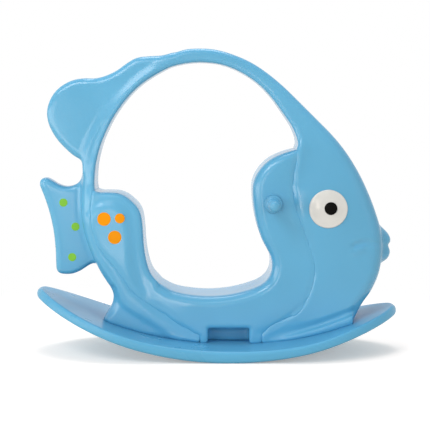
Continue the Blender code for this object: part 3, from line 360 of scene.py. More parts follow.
def spline(points):
    """Points about one sample length apart on a smooth curve through the given ones."""
    given = np.array(points, dtype=float)
    ends = np.vstack([2 * given[0] - given[1], given, 2 * given[-1] - given[-2]])
    fine = []
    for p0, p1, p2, p3 in zip(ends[:-3], ends[1:-2], ends[2:-1], ends[3:]):
        for t in np.linspace(0.0, 1.0, SPLINE_STEPS, endpoint=False):
            fine.append(0.5 * (2 * p1 + (p2 - p0) * t + (2 * p0 - 5 * p1 + 4 * p2 - p3) * t * t
                               + (3 * p1 - p0 - 3 * p2 + p3) * t ** 3))
    fine = np.array(fine + [given[-1]])
    along = np.concatenate([[0.0], np.cumsum(np.linalg.norm(np.diff(fine, axis=0), axis=1))])
    count = max(1, round(along[-1] / SAMPLE))
    places = np.linspace(0.0, along[-1], count + 1)
    return np.column_stack([np.interp(places, along, fine[:, k]) for k in range(2)])


def side_step(line, distance):
    """The open line moved by a distance to its left, corner by corner."""
    step = np.diff(line, axis=0)
    step /= np.linalg.norm(step, axis=1)[:, None]
    left = np.column_stack([-step[:, 1], step[:, 0]])
    middle = np.vstack([left[:1], left]) + np.vstack([left, left[-1:]])
    middle /= np.linalg.norm(middle, axis=1)[:, None]
    return line + middle * distance


def outline(*runs):
    """Join runs of (points, edge width, edge drop if it differs) into one closed outline."""
    parts = []
    for points, *edge in runs:
        width, drop = (np.broadcast_to(size, len(points)) for size in (edge[0], edge[-1]))
        parts.append(np.column_stack([points, width, drop])[:-1])
    return np.vstack(parts)


def line_distance(points, gx, gz, closed=False):
    """Distance from each place to the line, and the blended edge values of its points."""
    line = np.vstack([points, points[:1]]) if closed else points
    best = np.full(gx.shape, np.inf)
    total = np.zeros(gx.shape)
    sums = [np.zeros(gx.shape) for _ in range(points.shape[1] - 2)]
    for one, two in zip(line[:-1], line[1:]):
        run = two[:2] - one[:2]
        length2 = max(run @ run, TINY)
        t = np.clip(((gx - one[0]) * run[0] + (gz - one[1]) * run[1]) / length2, 0.0, 1.0)
        gap = np.hypot(gx - one[0] - t * run[0], gz - one[1] - t * run[1])
        best = np.minimum(best, gap)
        weight = (gap + EDGE_BLEND) ** -EDGE_BLEND_POWER
        total += weight
        for k, held in enumerate(sums):
            held += weight * (one[2 + k] * (1 - t) + two[2 + k] * t)
    return best, [held / total for held in sums]


def inside(loop, gx, gz):
    """Which grid places lie within the closed outline."""
    odd = np.zeros(gx.shape, dtype=bool)
    for one, two in zip(loop, np.roll(loop, -1, axis=0)):
        if one[1] == two[1]:
            continue
        crosses = (one[1] > gz) != (two[1] > gz)
        at = one[0] + (gz - one[1]) * (two[0] - one[0]) / (two[1] - one[1])
        odd ^= crosses & (gx < at)
    return odd


def smooth_step(value, low, high):
    """0 below low, 1 above high and an even turn between them."""
    share = np.clip((value - low) / (high - low), 0.0, 1.0)
    return share * share * (3 - 2 * share)


def soften(field, times):
    """Average a grid with its neighbours a few times."""
    for _ in range(times):
        pad = np.pad(field, 1, mode="edge")
        field = (pad[2:, 1:-1] + pad[:-2, 1:-1] + pad[1:-1, 2:] + pad[1:-1, :-2]
                 + 4 * field) / 8
    return field


# Fields on a grid

class Grid:
    """A box of voxels round a moulding, with the side view's places and the depth rows."""

    def __init__(self, loop, half):
        low = loop[:, :2].min(axis=0) - GRID_MARGIN
        high = loop[:, :2].max(axis=0) + GRID_MARGIN
        depth = half + GRID_MARGIN
        self.low = (low[0], -depth, low[1])
        xs, zs = (np.arange(a, b + VOXEL, VOXEL) for a, b in zip(low, high))
        self.ys = np.arange(-depth, depth + VOXEL, VOXEL)
        self.gx, self.gz = np.meshgrid(xs, zs, indexing="ij")

    def distance(self, line):
        """Distance from each place of the side view to an open line."""
        return line_distance(line, self.gx, self.gz)[0]

    def near(self, line, reach):
        """1 on an open line, softly down to 0 at about twice the reach from it."""
        return np.exp(-(self.distance(line) / reach) ** 2)

    def level(self, table, pads):
        """Half width at each place, blended between the stated ones and flat on the pads."""
        gaps = np.array([np.hypot(self.gx - x, self.gz - z) for x, z, _ in table])
        weights = np.exp(-((gaps - LEVEL_PULL * gaps.min(axis=0)) / LEVEL_BLEND) ** 2)
        half = np.tensordot([value for _, _, value in table], weights, axes=1)
        half /= weights.sum(axis=0)
        for x, z, radius, value in pads:
            away = np.hypot(self.gx - x, self.gz - z)
            share = smooth_step(away, radius, PAD_REACH * radius)
            half = half * share + value * (1 - share)
        return soften(half, LEVEL_SMOOTHING)

    def step_across(self, line, corners, softness):
        """0 to 1 across a line, 1 on the side where the given corners close it."""
        path = spline(line)
        held = inside(np.vstack([path, corners]), self.gx, self.gz)
        gap = self.distance(path)
        return smooth_step(np.where(held, gap, -gap), -softness / 2, softness / 2)

    def swelling(self, line, size, width):
        """Height of a soft bead along points x, z with a strength each."""
        gap, (strength,) = line_distance(np.array(line), self.gx, self.gz)
        return size * strength * np.exp(-(gap / width) ** 2)

    def slab(self, loop, half):
        """Distance to a slab with the given side outline, half width and rounded edges."""
        gap, (width, drop) = line_distance(loop, self.gx, self.gz, closed=True)
        signed = np.where(inside(loop, self.gx, self.gz), -gap, gap)[:, None, :]
        width = soften(width, EDGE_SMOOTHING)[:, None, :]
        drop = soften(drop, EDGE_SMOOTHING)[:, None, :]
        depth = np.abs(self.ys)[None, :, None] - half[:, None, :] + drop
        side = np.maximum((signed + width) / width, 0.0)
        front = np.maximum(depth / drop, 0.0)
        core = np.maximum(signed / width, (depth - drop) / drop)
        rounded = np.maximum(np.hypot(side, front) - 1.0, -1.0)
        return np.where((side > 0) | (front > 0), rounded, core) * np.minimum(width, drop)


def blend_in(one, two, fillet):
    """Join two forms with a fillet of about the given size."""
    share = np.maximum(fillet - np.abs(one - two), 0.0) / fillet
    return np.minimum(one, two) - share * share * fillet / 4


def cut_out(one, two, fillet):
    """Take the second form out of the first, with softened edges."""
    return -blend_in(-one, two, fillet)


# Objects

def in_scene(name, data):
    """A new object in the scene with the given mesh, camera or lamp."""
    made = bpy.data.objects.new(name, data)
    bpy.context.scene.collection.objects.link(made)
    return made


def finished(name, form):
    """An object from a bmesh, shaded sharp only at its hard edges."""
    bmesh.ops.recalc_face_normals(form, faces=form.faces)
    mesh = bpy.data.meshes.new(name)
    form.to_mesh(mesh)
    form.free()
    mesh.shade_smooth()
    mesh.set_sharp_from_angle(angle=math.radians(SHARP_ANGLE))
    return in_scene(name, mesh)


def skin(name, grid, field):
    """The zero surface of a field as a smooth mesh object."""
    volume = openvdb.FloatGrid()
    volume.background = FIELD_LIMIT
    clipped = np.clip(field, -FIELD_LIMIT, FIELD_LIMIT)
    volume.copyFromArray(np.ascontiguousarray(clipped, dtype=np.float32))
    points, quads = volume.convertToQuads()
    points = points * VOXEL + np.array(grid.low)
    mesh = bpy.data.meshes.new(name)
    mesh.from_pydata(points.tolist(), [], quads[:, ::-1].tolist())
    form = bmesh.new()
    form.from_mesh(mesh)
    for _ in range(SKIN_SMOOTHING):
        bmesh.ops.smooth_vert(form, verts=form.verts, factor=0.5,
                              use_axis_x=True, use_axis_y=True, use_axis_z=True)
    bmesh.ops.recalc_face_normals(form, faces=form.faces)
    form.to_mesh(mesh)
    form.free()
    mesh.shade_smooth()
    return in_scene(name, mesh)


def bridge(form, rings, sides):
    """Faces between each ring of points and the next, where a ring may be a single point."""
    for one, two in zip(rings[:-1], rings[1:]):
        for k in range(sides):
            a, b = one[k % len(one)], one[(k + 1) % len(one)]
            c, d = two[(k + 1) % len(two)], two[k % len(two)]
            form.faces.new(list(dict.fromkeys([a, b, c, d])))


def turned(name, profile):
    """A round solid about +Y from (radius, y) pairs that start and end on the axis."""
    form = bmesh.new()
    angles = [2 * math.pi * k / TURNED_SIDES for k in range(TURNED_SIDES)]
    rings = []
    for radius, y in profile:
        around = angles if radius > 0 else angles[:1]
        rings.append([form.verts.new((radius * math.cos(a), y, radius * math.sin(a)))
                      for a in around])
    bridge(form, rings, TURNED_SIDES)
    return finished(name, form)


def paint(piece, finish):
    """Give a piece one material all over."""
    piece.data.materials.clear()
    piece.data.materials.append(finish)


def finish_piece(piece, finish, node):
    """Paint a piece, ride it on the body and let it stand for its solid."""
    paint(piece, finish)
    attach(piece, "root")
    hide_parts(node)


# Rocker board

def underside(x):
    """Height of the board's underside: an arc to each side, eased flatter near the ends."""
    rear = x < ROCKER_LOW_X
    radius = REAR_RADIUS if rear else FRONT_RADIUS
    ease = REAR_EASE if rear else FRONT_EASE
    away = abs(x - ROCKER_LOW_X)
    return away ** 2 / (2 * radius) - REST_DEPTH - ease * max(0.0, away - EASE_START) ** 2


def board_thickness(x):
    """Thickness of the board, which thins evenly towards both ends."""
    share = smooth_step(abs(x - BOARD_X), 0.0, BOARD_TAPER)
    return BOARD_THICKNESS - (BOARD_THICKNESS - BOARD_END_THICKNESS) * share


def board_place(x, up):
    """Side view place at a height above the underside at x, measured square to it."""
    slope = (underside(x + SLOPE_STEP) - underside(x - SLOPE_STEP)) / (2 * SLOPE_STEP)
    rise = up / math.hypot(1.0, slope)
    return x - slope * rise, underside(x) + rise


def board_top_line(start, end, lift):
    """The board's top between two places, raised by lift."""
    base = np.linspace(-TOP_LINE_REACH, TOP_LINE_REACH, TOP_LINE_POINTS)
    tops = np.array([board_place(x, board_thickness(x)) for x in base])
    places = np.linspace(start, end, max(2, round((end - start) / SAMPLE)))
    return np.column_stack([places, np.interp(places, tops[:, 0], tops[:, 1]) + lift])


def plan_half_width(x):
    """Half width of the board seen from above, closing in towards both ends."""
    start = BOARD_HALF_LENGTH - BOARD_END
    share = max(0.0, abs(x - BOARD_X) - start) / BOARD_END
    return BOARD_HALF_WIDTH * max(0.0, 1.0 - share * share) ** BOARD_END_POWER


def squared(value):
    """Rounds the board's edge more squarely than a half circle."""
    return math.copysign(abs(value) ** BOARD_SQUARENESS, value)


def board_section(wide, thick):
    """Ring of (y, height above the middle) for a half width and half thickness."""
    flat = wide - thick
    edge = [(flat + thick * squared(math.cos(turn)), thick * squared(math.sin(turn)))
            for turn in map(math.radians, BOARD_EDGE_TURNS)]
    top = [(flat * k / TOP_ROWS, thick) for k in range(1 - TOP_ROWS, TOP_ROWS)]
    bottom = [(y, -thick) for y, _ in reversed(top)]
    return top + edge + bottom + [(-y, up) for y, up in reversed(edge)]


def board_skin():
    """The curved board with full round edges, as one finely divided skin."""
    end_tip = BOARD_END_THICKNESS / 2
    straight = BOARD_HALF_LENGTH - end_tip
    middle = list(np.linspace(-straight, straight, BOARD_STATIONS))
    ends = [straight + end_tip * math.sin(math.radians(a)) for a in BOARD_TIP_TURNS]
    form = bmesh.new()
    rings = []
    for along in [-x for x in reversed(ends)] + middle + ends:
        x = BOARD_X + along
        tip = board_thickness(x) / 2
        beyond = max(0.0, abs(along) - straight) / end_tip
        thick = tip * math.sqrt(max(BOARD_TIP_LEAST, 1.0 - beyond ** 2))
        wide = max(plan_half_width(x), BOARD_TIP_WIDTH * thick)
        ring = []
        for y, up in board_section(wide, thick):
            place, height = board_place(x, tip + up)
            ring.append(form.verts.new((place, y, max(0.0, height))))
        rings.append(ring)
    bridge(form, rings, len(rings[0]))
    form.faces.new(rings[0])
    form.faces.new(list(reversed(rings[-1])))
    return finished("board_skin", form)


# Outlines of the mouldings

def seam_lines():
    """The rear and the front joint between body and cradle, from end to end."""
    foot = board_top_line(TAB_REAR_X, TAB_FRONT_X, 0.0)
    rear = spline(SEAM_REAR_LINE[:-1] + [(TAB_REAR_X, foot[0][1] + TAB_HEIGHT)])
    front = spline([(TAB_FRONT_X, foot[-1][1] + TAB_HEIGHT)] + SEAM_FRONT_LINE[1:])
    return np.vstack([rear, foot[:1]]), np.vstack([foot[-1:], front])


def body_loop():
    """Outline of head, arch and rear lobes, with its edges' rounding."""
    rear_seam, front_seam = seam_lines()
    heel = board_top_line(REAR_EDGE_LINE[0][0], TAB_REAR_X - GAP, -BASE_SINK)
    toe = board_top_line(TAB_FRONT_X + GAP, HEAD_LINE[-1][0], -BASE_SINK)
    rear = spline([tuple(heel[0])] + REAR_EDGE_LINE[1:])
    head = spline(HEAD_LINE[:-1] + [tuple(toe[-1])])
    rear_seam = np.vstack([side_step(rear_seam, SEAM_LAP / 2)[:-1], heel[-1:]])
    front_seam = np.vstack([toe[:1], side_step(front_seam, SEAM_LAP / 2)[1:]])
    inner = np.vstack([front_seam[-1:], spline(ARCH_INNER_LINE)[1:-1], rear_seam[:1]])
    grown = smooth_step(np.arange(len(head)) * SAMPLE, 0.0, HEAD_EDGE_GROWTH)
    head_edge = ARCH_EDGE + (HEAD_EDGE - ARCH_EDGE) * grown
    return outline((rear, REAR_EDGE), (spline(ARCH_OUTER_LINE), ARCH_EDGE), (head, head_edge),
                   (toe[::-1], BASE_EDGE), (front_seam, *SEAM_EDGE), (inner, ARCH_INNER_EDGE),
                   (rear_seam, *SEAM_EDGE), (heel[::-1], BASE_EDGE))


def cradle_loop():
    """Outline of backrest, seat, console and tab, with its edges' rounding."""
    rear_seam, front_seam = seam_lines()
    foot = board_top_line(TAB_REAR_X, TAB_FRONT_X, -BASE_SINK)
    rear_seam = np.vstack([side_step(rear_seam, -SEAM_LAP / 2)[:-1], foot[:1]])
    front_seam = np.vstack([foot[-1:], side_step(front_seam, -SEAM_LAP / 2)[1:]])
    back = np.vstack([rear_seam[:1], spline(BACKREST_LINE)[1:]])
    console = np.vstack([spline(CONSOLE_LINE)[:-1], front_seam[-1:]])
    return outline((back, *BACK_RIM), (spline(SEAT_LINE), CRADLE_EDGE),
                   (console, CRADLE_EDGE), (front_seam[::-1], *SEAM_EDGE),
                   (foot[::-1], BASE_EDGE), (rear_seam[::-1], *SEAM_EDGE))


def plate_loop(edge_line, root_line, edge):
    """Outline of a plate that grows out of the body, with one rounding all round."""
    return outline((spline(edge_line), edge), (spline(root_line), edge))


def flange_loop():
    """Outline of the foot flange, which stands on the board."""
    sole = board_top_line(FLANGE_LINE[-1][0], FLANGE_LINE[0][0], -BASE_SINK)
    root = np.vstack([sole, FLANGE_LINE[:1]])
    return outline((spline(FLANGE_LINE), FLANGE_EDGE), (root, FLANGE_EDGE))


# Half widths of the mouldings

def cradle_base(grid):
    """Half width of the cradle, with its raised panel and flat pads."""
    pads = [(x, z, SPOT_PAD * radius, SIDE_LEVEL) for x, z, radius in SIDE_SPOTS]
    pads.append((HANDLE_X, HANDLE_Z, HANDLE_PAD, HANDLE_LEVEL))
    panel = grid.step_across(PANEL_LINE, PANEL_CORNERS, PANEL_SOFTNESS)
    shown = smooth_step(grid.gz, *PANEL_FADE) * (1 - smooth_step(grid.gx, *PANEL_FADE_X))
    return grid.level(CRADLE_HALF, pads) - PANEL_RISE * (1 - panel) * shown


def body_base(grid):
    """Half width of the body, nearly level with the cradle along the rear joint."""
    half = grid.level(BODY_HALF, [(EYE_X, EYE_Z, EYE_PAD, EYE_LEVEL)])
    rear_seam, _ = seam_lines()
    share = grid.near(rear_seam, REAR_REACH) * (1 - smooth_step(grid.gz, *REAR_FADE))
    return half + (cradle_base(grid) - REAR_STEP - half) * share


def joined(grid, own, other):
    """One moulding's half width, brought to a common level at the front joint and grooved."""
    own = soften(own, JOINT_SMOOTHING)
    other = soften(other, JOINT_SMOOTHING)
    _, front_seam = seam_lines()
    half = own + (other - own) / 2 * grid.near(front_seam, SEAM_REACH)
    half -= grid.swelling(REAR_VALLEY, REAR_VALLEY_DEPTH, REAR_VALLEY_WIDTH)
    return half - grid.swelling(FRONT_VALLEY, VALLEY_DEPTH, VALLEY_WIDTH)


def body_level(grid):
    """Half width of the body with its lobes, crest, creases and beads."""
    half = joined(grid, body_base(grid), cradle_base(grid))
    half -= LOBE_STEP * grid.step_across(LOBE_LINE, LOBE_CORNERS, LOBE_SOFTNESS)
    half += grid.swelling(RIDGE, RIDGE_HEIGHT, RIDGE_WIDTH)
    half += grid.swelling(BASE_BEAD, BEAD_HEIGHT, BEAD_WIDTH)
    half -= grid.swelling(FLANGE_GROOVE, GROOVE_DEPTH, GROOVE_WIDTH)
    half += grid.swelling(MOUTH_FOLD, FOLD_HEIGHT, FOLD_WIDTH)
    return half - grid.swelling(MOUTH_CREASE, CREASE_DEPTH, CREASE_WIDTH)


# The two mouldings

def body_skin():
    """Head, arch and rear lobes, with fin, tail, lips and foot flange blended in."""
    loop = body_loop()
    fin = plate_loop(FIN_LINE, FIN_ROOT_LINE, FIN_EDGE)
    tail = plate_loop(TAIL_LINE, TAIL_ROOT_LINE, TAIL_EDGE)
    lips = plate_loop(LIPS_LINE, LIPS_ROOT_LINE, LIPS_EDGE)
    flange = flange_loop()
    grid = Grid(np.vstack([loop, fin, tail, lips, flange]), BODY_REACH)
    away = grid.distance(spline(ARCH_OUTER_LINE))
    fin_half = FIN_HALF - FIN_TAPER * np.clip(away / FIN_REACH, 0.0, 1.0)
    flange_half = FLANGE_HALF - FLANGE_FADE * (1 - smooth_step(grid.gx, *FLANGE_FADE_X))
    field = grid.slab(loop, body_level(grid))
    for form, half, fillet in ((fin, fin_half, FIN_FILLET), (tail, TAIL_HALF, TAIL_FILLET),
                               (lips, LIPS_HALF, LIPS_FILLET),
                               (flange, flange_half, FLANGE_FILLET)):
        field = blend_in(field, grid.slab(form, np.broadcast_to(half, grid.gx.shape)), fillet)
    return skin("body_skin", grid, field)


def foot_recess(grid):
    """Distance to the space of the two foot recesses, rounded where roof and wall meet."""
    roof = board_top_line(FOOTWELL_X, FOOTWELL_X + SAMPLE, 0.0)[0][1] + FOOTWELL_HEIGHT
    across = np.abs(grid.gx - FOOTWELL_X) - FOOTWELL_LENGTH / 2
    high = np.maximum(grid.gz - roof, across) + FOOTWELL_EDGE
    depth = FOOTWELL_INNER_Y - np.abs(grid.ys) + FOOTWELL_EDGE
    return np.hypot(np.maximum(high[:, None, :], 0.0),
                    np.maximum(depth[None, :, None], 0.0)) - FOOTWELL_EDGE


def cradle_skin():
    """Backrest, seat, console and tab, with the foot recesses let in."""
    loop = cradle_loop()
    grid = Grid(loop, CRADLE_REACH)
    level = joined(grid, cradle_base(grid), body_base(grid))
    field = cut_out(grid.slab(loop, level), foot_recess(grid), FOOTWELL_FILLET)
    return skin("cradle_skin", grid, field)


# Small pieces

def placed(piece, x, z, side):
    """Mirror the mesh to its side of the fish and move it to its place in the side view."""
    if side < 0:
        piece.data.transform(Matrix.Diagonal((1, -1, 1, 1)))
        piece.data.flip_normals()
    piece.data.transform(Matrix.Translation((x, 0, z)))
    return piece


def domed_disc(name, side, place, radius, base, height, rim):
    """A disc on the level base with a rounded rim and a gently domed face."""
    profile = [(0, base - DISC_ROOT), (radius, base - DISC_ROOT), (radius, base)]
    for k in range(1, RIM_STEPS + 1):
        turn = math.radians(90) * k / RIM_STEPS
        profile.append((radius - rim * (1 - math.cos(turn)), base + rim * math.sin(turn)))
    for k in range(1, DOME_STEPS + 1):
        share = 1 - k / DOME_STEPS
        profile.append(((radius - rim) * share, base + rim + (height - rim) * (1 - share ** 2)))
    return placed(turned(name, profile), *place, side)


def make_eyes(white, black):
    """White eyes with their pupils, on both sides."""
    face = EYE_LEVEL + EYE_PROUD - PUPIL_SINK
    for label, side in SIDES.items():
        eye = domed_disc("eye_dome_" + label, side, (EYE_X, EYE_Z), EYE_RADIUS, EYE_LEVEL,
                         EYE_PROUD, EYE_RIM)
        finish_piece(eye, white, "eye_" + label)
        pupil = domed_disc("pupil_dome_" + label, side, PUPIL_PLACE, PUPIL_RADIUS, face,
                           PUPIL_PROUD, PUPIL_RIM)
        finish_piece(pupil, black, "pupil_" + label)


def make_spots(kind, spots, surface, finish):
    """The coloured spots of one kind, on both sides."""
    for label, side in SIDES.items():
        for number, (x, z, radius) in enumerate(spots, 1):
            ending = f"_{label}_{number}"
            disc = domed_disc(kind + "_dot" + ending, side, (x, z), radius, surface - SPOT_SINK,
                              SPOT_PROUD, SPOT_RIM)
            finish_piece(disc, finish, kind + "_spot" + ending)


def grip_profile(start, end, flange):
    """Half section of a grip: flange, neck, shallow grooves and a rounded end."""
    grip = GRIP_SHARE * flange
    dome = GRIP_DOME * grip
    profile = [(0, start)]
    profile += [(flange + out, start + along) for out, along in GRIP_FLANGE]
    profile += [(grip + out, start + along) for out, along in GRIP_NECK]
    span = end - dome - start - GROOVES_START
    for k in range(GRIP_GROOVES * GROOVE_STEPS):
        share = k / (GRIP_GROOVES * GROOVE_STEPS)
        swell = GRIP_SWELL * math.sin(math.pi * share)
        groove = GRIP_GROOVE_DEPTH * max(0.0, math.cos(2 * math.pi * k / GROOVE_STEPS))
        profile.append((grip + swell - groove, start + GROOVES_START + span * share))
    for turn in map(math.radians, GRIP_DOME_TURNS):
        profile.append((grip * math.cos(turn), end - dome * (1 - math.sin(turn))))
    profile.append((0, end))
    return profile


def make_grips(finish):
    """The two hand grips, each as long and as thick as its solid."""
    for label, side in SIDES.items():
        low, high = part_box("hand_grip_" + label)
        start, end = sorted((abs(low[1]), abs(high[1])))
        profile = grip_profile(start, end, (high[0] - low[0]) / 2)
        piece = placed(turned("grip_" + label, profile), HANDLE_X, HANDLE_Z, side)
        finish_piece(piece, finish, "hand_grip_" + label)


# Materials

class Nodes:
    """Short calls that add and link the shader nodes of a new material."""

    def __init__(self, name):
        self.material = bpy.data.materials.new(name)
        self.material.use_nodes = True
        self.tree = self.material.node_tree
        self.shader = self.tree.nodes["Principled BSDF"]
        self.place = self.add("ShaderNodeTexCoord").outputs["Object"]

    def put(self, socket, value):
        """Link an output to a socket, or set a constant on it."""
        if isinstance(value, bpy.types.NodeSocket):
            self.tree.links.new(value, socket)
        else:
            socket.default_value = value

    def add(self, kind, inputs=None, **settings):
        """A new node with its settings and its inputs, each a constant or an output."""
        node = self.tree.nodes.new(kind)
        for key, value in settings.items():
            setattr(node, key, value)
        for key, value in (inputs or {}).items():
            self.put(node.inputs[key], value)
        return node

    def set(self, **values):
        """Set or link the shader's own sockets."""
        for key, value in values.items():
            self.put(self.shader.inputs[key.replace("_", " ")], value)

    def noise(self, scale, detail=3.0, roughness=0.5, stretch=None):
        """Noise over the object's own coordinates, which stretch may scale by axis."""
        place = self.place
        if stretch:
            mapping = self.add("ShaderNodeMapping", {"Vector": place, "Scale": stretch})
            place = mapping.outputs["Vector"]
        node = self.add("ShaderNodeTexNoise", {"Vector": place, "Scale": scale,
                                               "Detail": detail, "Roughness": roughness})
        return node.outputs["Fac"]

    def span(self, value, between, to=(0.0, 1.0)):
        """Turn the values between two bounds into an even run from one number to another."""
        bounds = dict(zip(("From Min", "From Max", "To Min", "To Max"), (*between, *to)))
        node = self.add("ShaderNodeMapRange", {"Value": value, **bounds},
                        interpolation_type="SMOOTHSTEP")
        return node.outputs["Result"]

    def math(self, operation, one, two):
        """The sum or product of two values, each a number or an output."""
        node = self.add("ShaderNodeMath", {0: one, 1: two}, operation=operation)
        return node.outputs["Value"]

    def mix(self, share, one, two):
        """A colour between two, each given as a colour or an output."""
        node = self.add("ShaderNodeMix", {0: share}, data_type="RGBA")
        ends = [socket for socket in node.inputs if socket.type == "RGBA"]
        for socket, value in zip(ends, (one, two)):
            self.put(socket, (*value, 1.0) if isinstance(value, tuple) else value)
        return next(socket for socket in node.outputs if socket.type == "RGBA")

    def bump(self, height, distance, strength, **normal):
        """A bumped normal, laid over another one if that is given as Normal."""
        inputs = {"Height": height, "Distance": distance, "Strength": strength, **normal}
        return self.add("ShaderNodeBump", inputs).outputs["Normal"]


def shade(colour, factor):
    """The colour made lighter or darker by a factor."""
    return tuple(min(1.0, channel * factor) for channel in colour)


def moulded_plastic(name, colour, roughness, specular=0.5, scuffing=0.07):
    """Glossy moulded polyethylene: soft waviness, fine peel, cloudy pigment, light scuffs."""
    n = Nodes(name)
    cloud = n.span(n.noise(3.2, detail=2.0), (0.35, 0.65))
    speck = n.span(n.noise(420.0, detail=2.0), (0.62, 0.72))
    base = n.mix(cloud, shade(colour, 0.965), shade(colour, 1.03))
    base = n.mix(n.math("MULTIPLY", speck, 0.25), base, shade(colour, 1.10))
    worn = n.add("ShaderNodeNewGeometry").outputs["Pointiness"]
    edge = n.span(worn, (0.505, 0.56), to=(0.0, 0.30))
    patchy = n.math("MULTIPLY", edge, n.span(n.noise(26.0), (0.4, 0.6), to=(0.2, 1.0)))
    base = n.mix(patchy, base, shade(colour, 1.22))
    streaks = n.noise(60.0, detail=4.0, roughness=0.7, stretch=(0.25, 1.0, 2.2))
    scuff = n.span(streaks, (0.60, 0.74))
    haze = n.span(n.noise(7.0), (0.35, 0.7), to=(-0.03, 0.05))
    rough = n.math("ADD", n.math("ADD", haze, roughness), n.math("MULTIPLY", scuff, scuffing))
    wave = n.bump(n.noise(9.0, detail=1.0), 0.0014, strength=0.35)
    peel = n.bump(n.noise(330.0, detail=2.0), 0.00010, strength=0.45, Normal=wave)
    n.set(Base_Color=base, Roughness=rough, Normal=peel, IOR=1.50,
          Specular_IOR_Level=specular, Subsurface_Weight=0.08,
          Subsurface_Radius=(0.3, 0.7, 1.0), Subsurface_Scale=0.004)
    return n.material


def smooth_plastic(name, colour, roughness, coat=0.0, specular=0.5):
    """Injection-moulded trim: finer and cleaner than the large mouldings."""
    n = Nodes(name)
    cloud = n.span(n.noise(18.0, detail=2.0), (0.35, 0.65))
    base = n.mix(cloud, shade(colour, 0.96), shade(colour, 1.04))
    streaks = n.noise(90.0, detail=4.0, roughness=0.7, stretch=(0.4, 1.0, 1.8))
    scuff = n.span(streaks, (0.60, 0.74), to=(0.0, 0.08))
    n.set(Base_Color=base, Roughness=n.math("ADD", scuff, roughness),
          Normal=n.bump(n.noise(500.0, detail=2.0), 0.00004, strength=0.4), IOR=1.49,
          Specular_IOR_Level=specular, Coat_Weight=coat, Coat_Roughness=0.08)
    return n.material


def plated_metal(name, colour, roughness):
    """Zinc-plated or turned metal with faint lay and clouding."""
    n = Nodes(name)
    cloud = n.span(n.noise(160.0), (0.35, 0.7))
    lay = n.noise(300.0, roughness=0.6, stretch=(1.0, 6.0, 1.0))
    rough = n.math("ADD", n.span(lay, (0.3, 0.7), to=(-0.05, 0.08)), roughness)
    n.set(Base_Color=n.mix(cloud, shade(colour, 0.88), shade(colour, 1.05)), Roughness=rough,
          Normal=n.bump(lay, 0.00006, strength=0.5), Metallic=1.0)
    return n.material


# Studio

def aim(thing, place, target):
    """Put a lamp or the camera at a place and turn it to a target."""
    thing.location = place
    way = Vector(target) - Vector(place)
    thing.rotation_mode = "QUATERNION"
    thing.rotation_quaternion = way.to_track_quat("-Z", "Y")


def make_camera():
    """The photograph's camera, with its frame and focal length."""
    data = bpy.data.cameras.new("camera")
    data.sensor_width = SENSOR_MM
    data.lens = FOCAL_PIXELS / FRAME_PIXELS * SENSOR_MM
    data.clip_end = CAMERA_REACH
    camera = in_scene("camera", data)
    aim(camera, CAMERA_PLACE, CAMERA_TARGET)
    bpy.context.scene.camera = camera


def area_light(name, place, target, size, power, colour=WHITE, mirrored=True):
    """A soft rectangular lamp that the camera doesn't see."""
    data = bpy.data.lights.new(name, "AREA")
    data.shape = "RECTANGLE"
    data.size, data.size_y = size
    data.energy = power
    data.color = colour
    lamp = in_scene(name, data)
    lamp.visible_camera = False
    lamp.visible_glossy = mirrored
    aim(lamp, place, target)


def seen_directly(tree):
    """1 for camera, glossy and transmission rays, 0 for the light that the object gets."""
    path = tree.nodes.new("ShaderNodeLightPath")
    share = path.outputs["Is Camera Ray"]
    for kind in ("Is Glossy Ray", "Is Transmission Ray"):
        most = tree.nodes.new("ShaderNodeMath")
        most.operation = "MAXIMUM"
        tree.links.new(share, most.inputs[0])
        tree.links.new(path.outputs[kind], most.inputs[1])
        share = most.outputs["Value"]
    return share


def make_world():
    """Plain light from all round, which looks white where it is seen."""
    world = bpy.data.worlds.new("studio")
    bpy.context.scene.world = world
    world.use_nodes = True
    tree = world.node_tree
    tree.nodes.clear()
    mix = tree.nodes.new("ShaderNodeMixShader")
    tree.links.new(seen_directly(tree), mix.inputs["Fac"])
    for socket, strength in zip(mix.inputs[1:], (WORLD_LIGHT, WORLD_SEEN)):
        sky = tree.nodes.new("ShaderNodeBackground")
        sky.inputs["Color"].default_value = (*WHITE, 1.0)
        sky.inputs["Strength"].default_value = strength
        tree.links.new(sky.outputs["Background"], socket)
    out = tree.nodes.new("ShaderNodeOutputWorld")
    tree.links.new(mix.outputs["Shader"], out.inputs["Surface"])


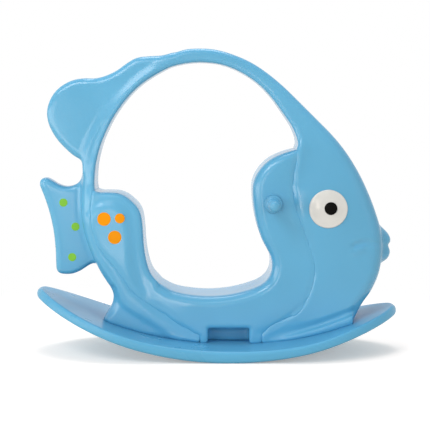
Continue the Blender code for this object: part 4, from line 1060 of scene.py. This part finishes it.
def floor_material():
    """Keeps the shadow near the object and looks plain white further off."""
    n = Nodes("studio_floor")
    n.tree.nodes.remove(n.shader)
    seen = seen_directly(n.tree)
    diffuse = n.add("ShaderNodeBsdfDiffuse", {"Color": n.mix(seen, FLOOR_BOUNCE, FLOOR_SEEN)})
    glow = n.add("ShaderNodeEmission", {"Strength": n.math("MULTIPLY", seen, FLOOR_GLOW)})
    near = n.add("ShaderNodeAddShader",
                 {0: diffuse.outputs["BSDF"], 1: glow.outputs["Emission"]})
    away = n.add("ShaderNodeVectorMath", {0: n.place}, operation="LENGTH")
    share = n.span(away.outputs["Value"], FLOOR_CLEAR)
    white = n.add("ShaderNodeEmission")
    mix = n.add("ShaderNodeMixShader", {0: n.math("MULTIPLY", share, seen),
                                        1: near.outputs["Shader"],
                                        2: white.outputs["Emission"]})
    n.put(n.tree.nodes["Material Output"].inputs["Surface"], mix.outputs["Shader"])
    return n.material


def make_floor():
    """The floor that the object stands on."""
    form = bmesh.new()
    bmesh.ops.create_grid(form, x_segments=1, y_segments=1, size=FLOOR_SIZE / 2)
    floor = finished("floor", form)
    paint(floor, floor_material())


# The whole scene

def dress_solids(finishes):
    """Give the solids whose names hold one of the words that word's finish."""
    for name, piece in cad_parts.items():
        for word, finish in finishes.items():
            if word in name:
                paint(piece, finish)


def make_object():
    """Every visible piece with its material."""
    blue = moulded_plastic("fish_blue_plastic", FISH_BLUE, 0.18)
    board_blue = moulded_plastic("board_blue_plastic", FISH_BLUE, 0.30, specular=0.28,
                                 scuffing=0.03)
    grip_blue = smooth_plastic("grip_blue_plastic", shade(FISH_BLUE, 0.92), 0.32)
    white = smooth_plastic("eye_white_plastic", EYE_WHITE, 0.22, coat=0.4)
    black = smooth_plastic("pupil_black_plastic", PUPIL_BLACK, 0.40, specular=0.05)
    green = smooth_plastic("spot_green_plastic", SPOT_GREEN, 0.38, specular=0.2)
    orange = smooth_plastic("spot_orange_plastic", SPOT_ORANGE, 0.38, specular=0.12)
    zinc = plated_metal("zinc_plate", ZINC, 0.34)
    brass = plated_metal("turned_brass", BRASS, 0.38)
    finish_piece(body_skin(), blue, "fish_body")
    finish_piece(cradle_skin(), blue, "seat_cradle")
    finish_piece(board_skin(), board_blue, "rocker_board")
    make_eyes(white, black)
    make_spots("tail", TAIL_SPOTS, TAIL_HALF, green)
    make_spots("side", SIDE_SPOTS, SIDE_LEVEL, orange)
    make_grips(grip_blue)
    dress_solids({"bolt": zinc, "washer": zinc, "rod": zinc, "insert": brass, "vent": blue})


make_camera()
make_object()
make_floor()
make_world()
for lamp_name, settings in LAMPS.items():
    area_light(lamp_name, *settings)
bpy.context.scene.view_settings.view_transform = "Standard"
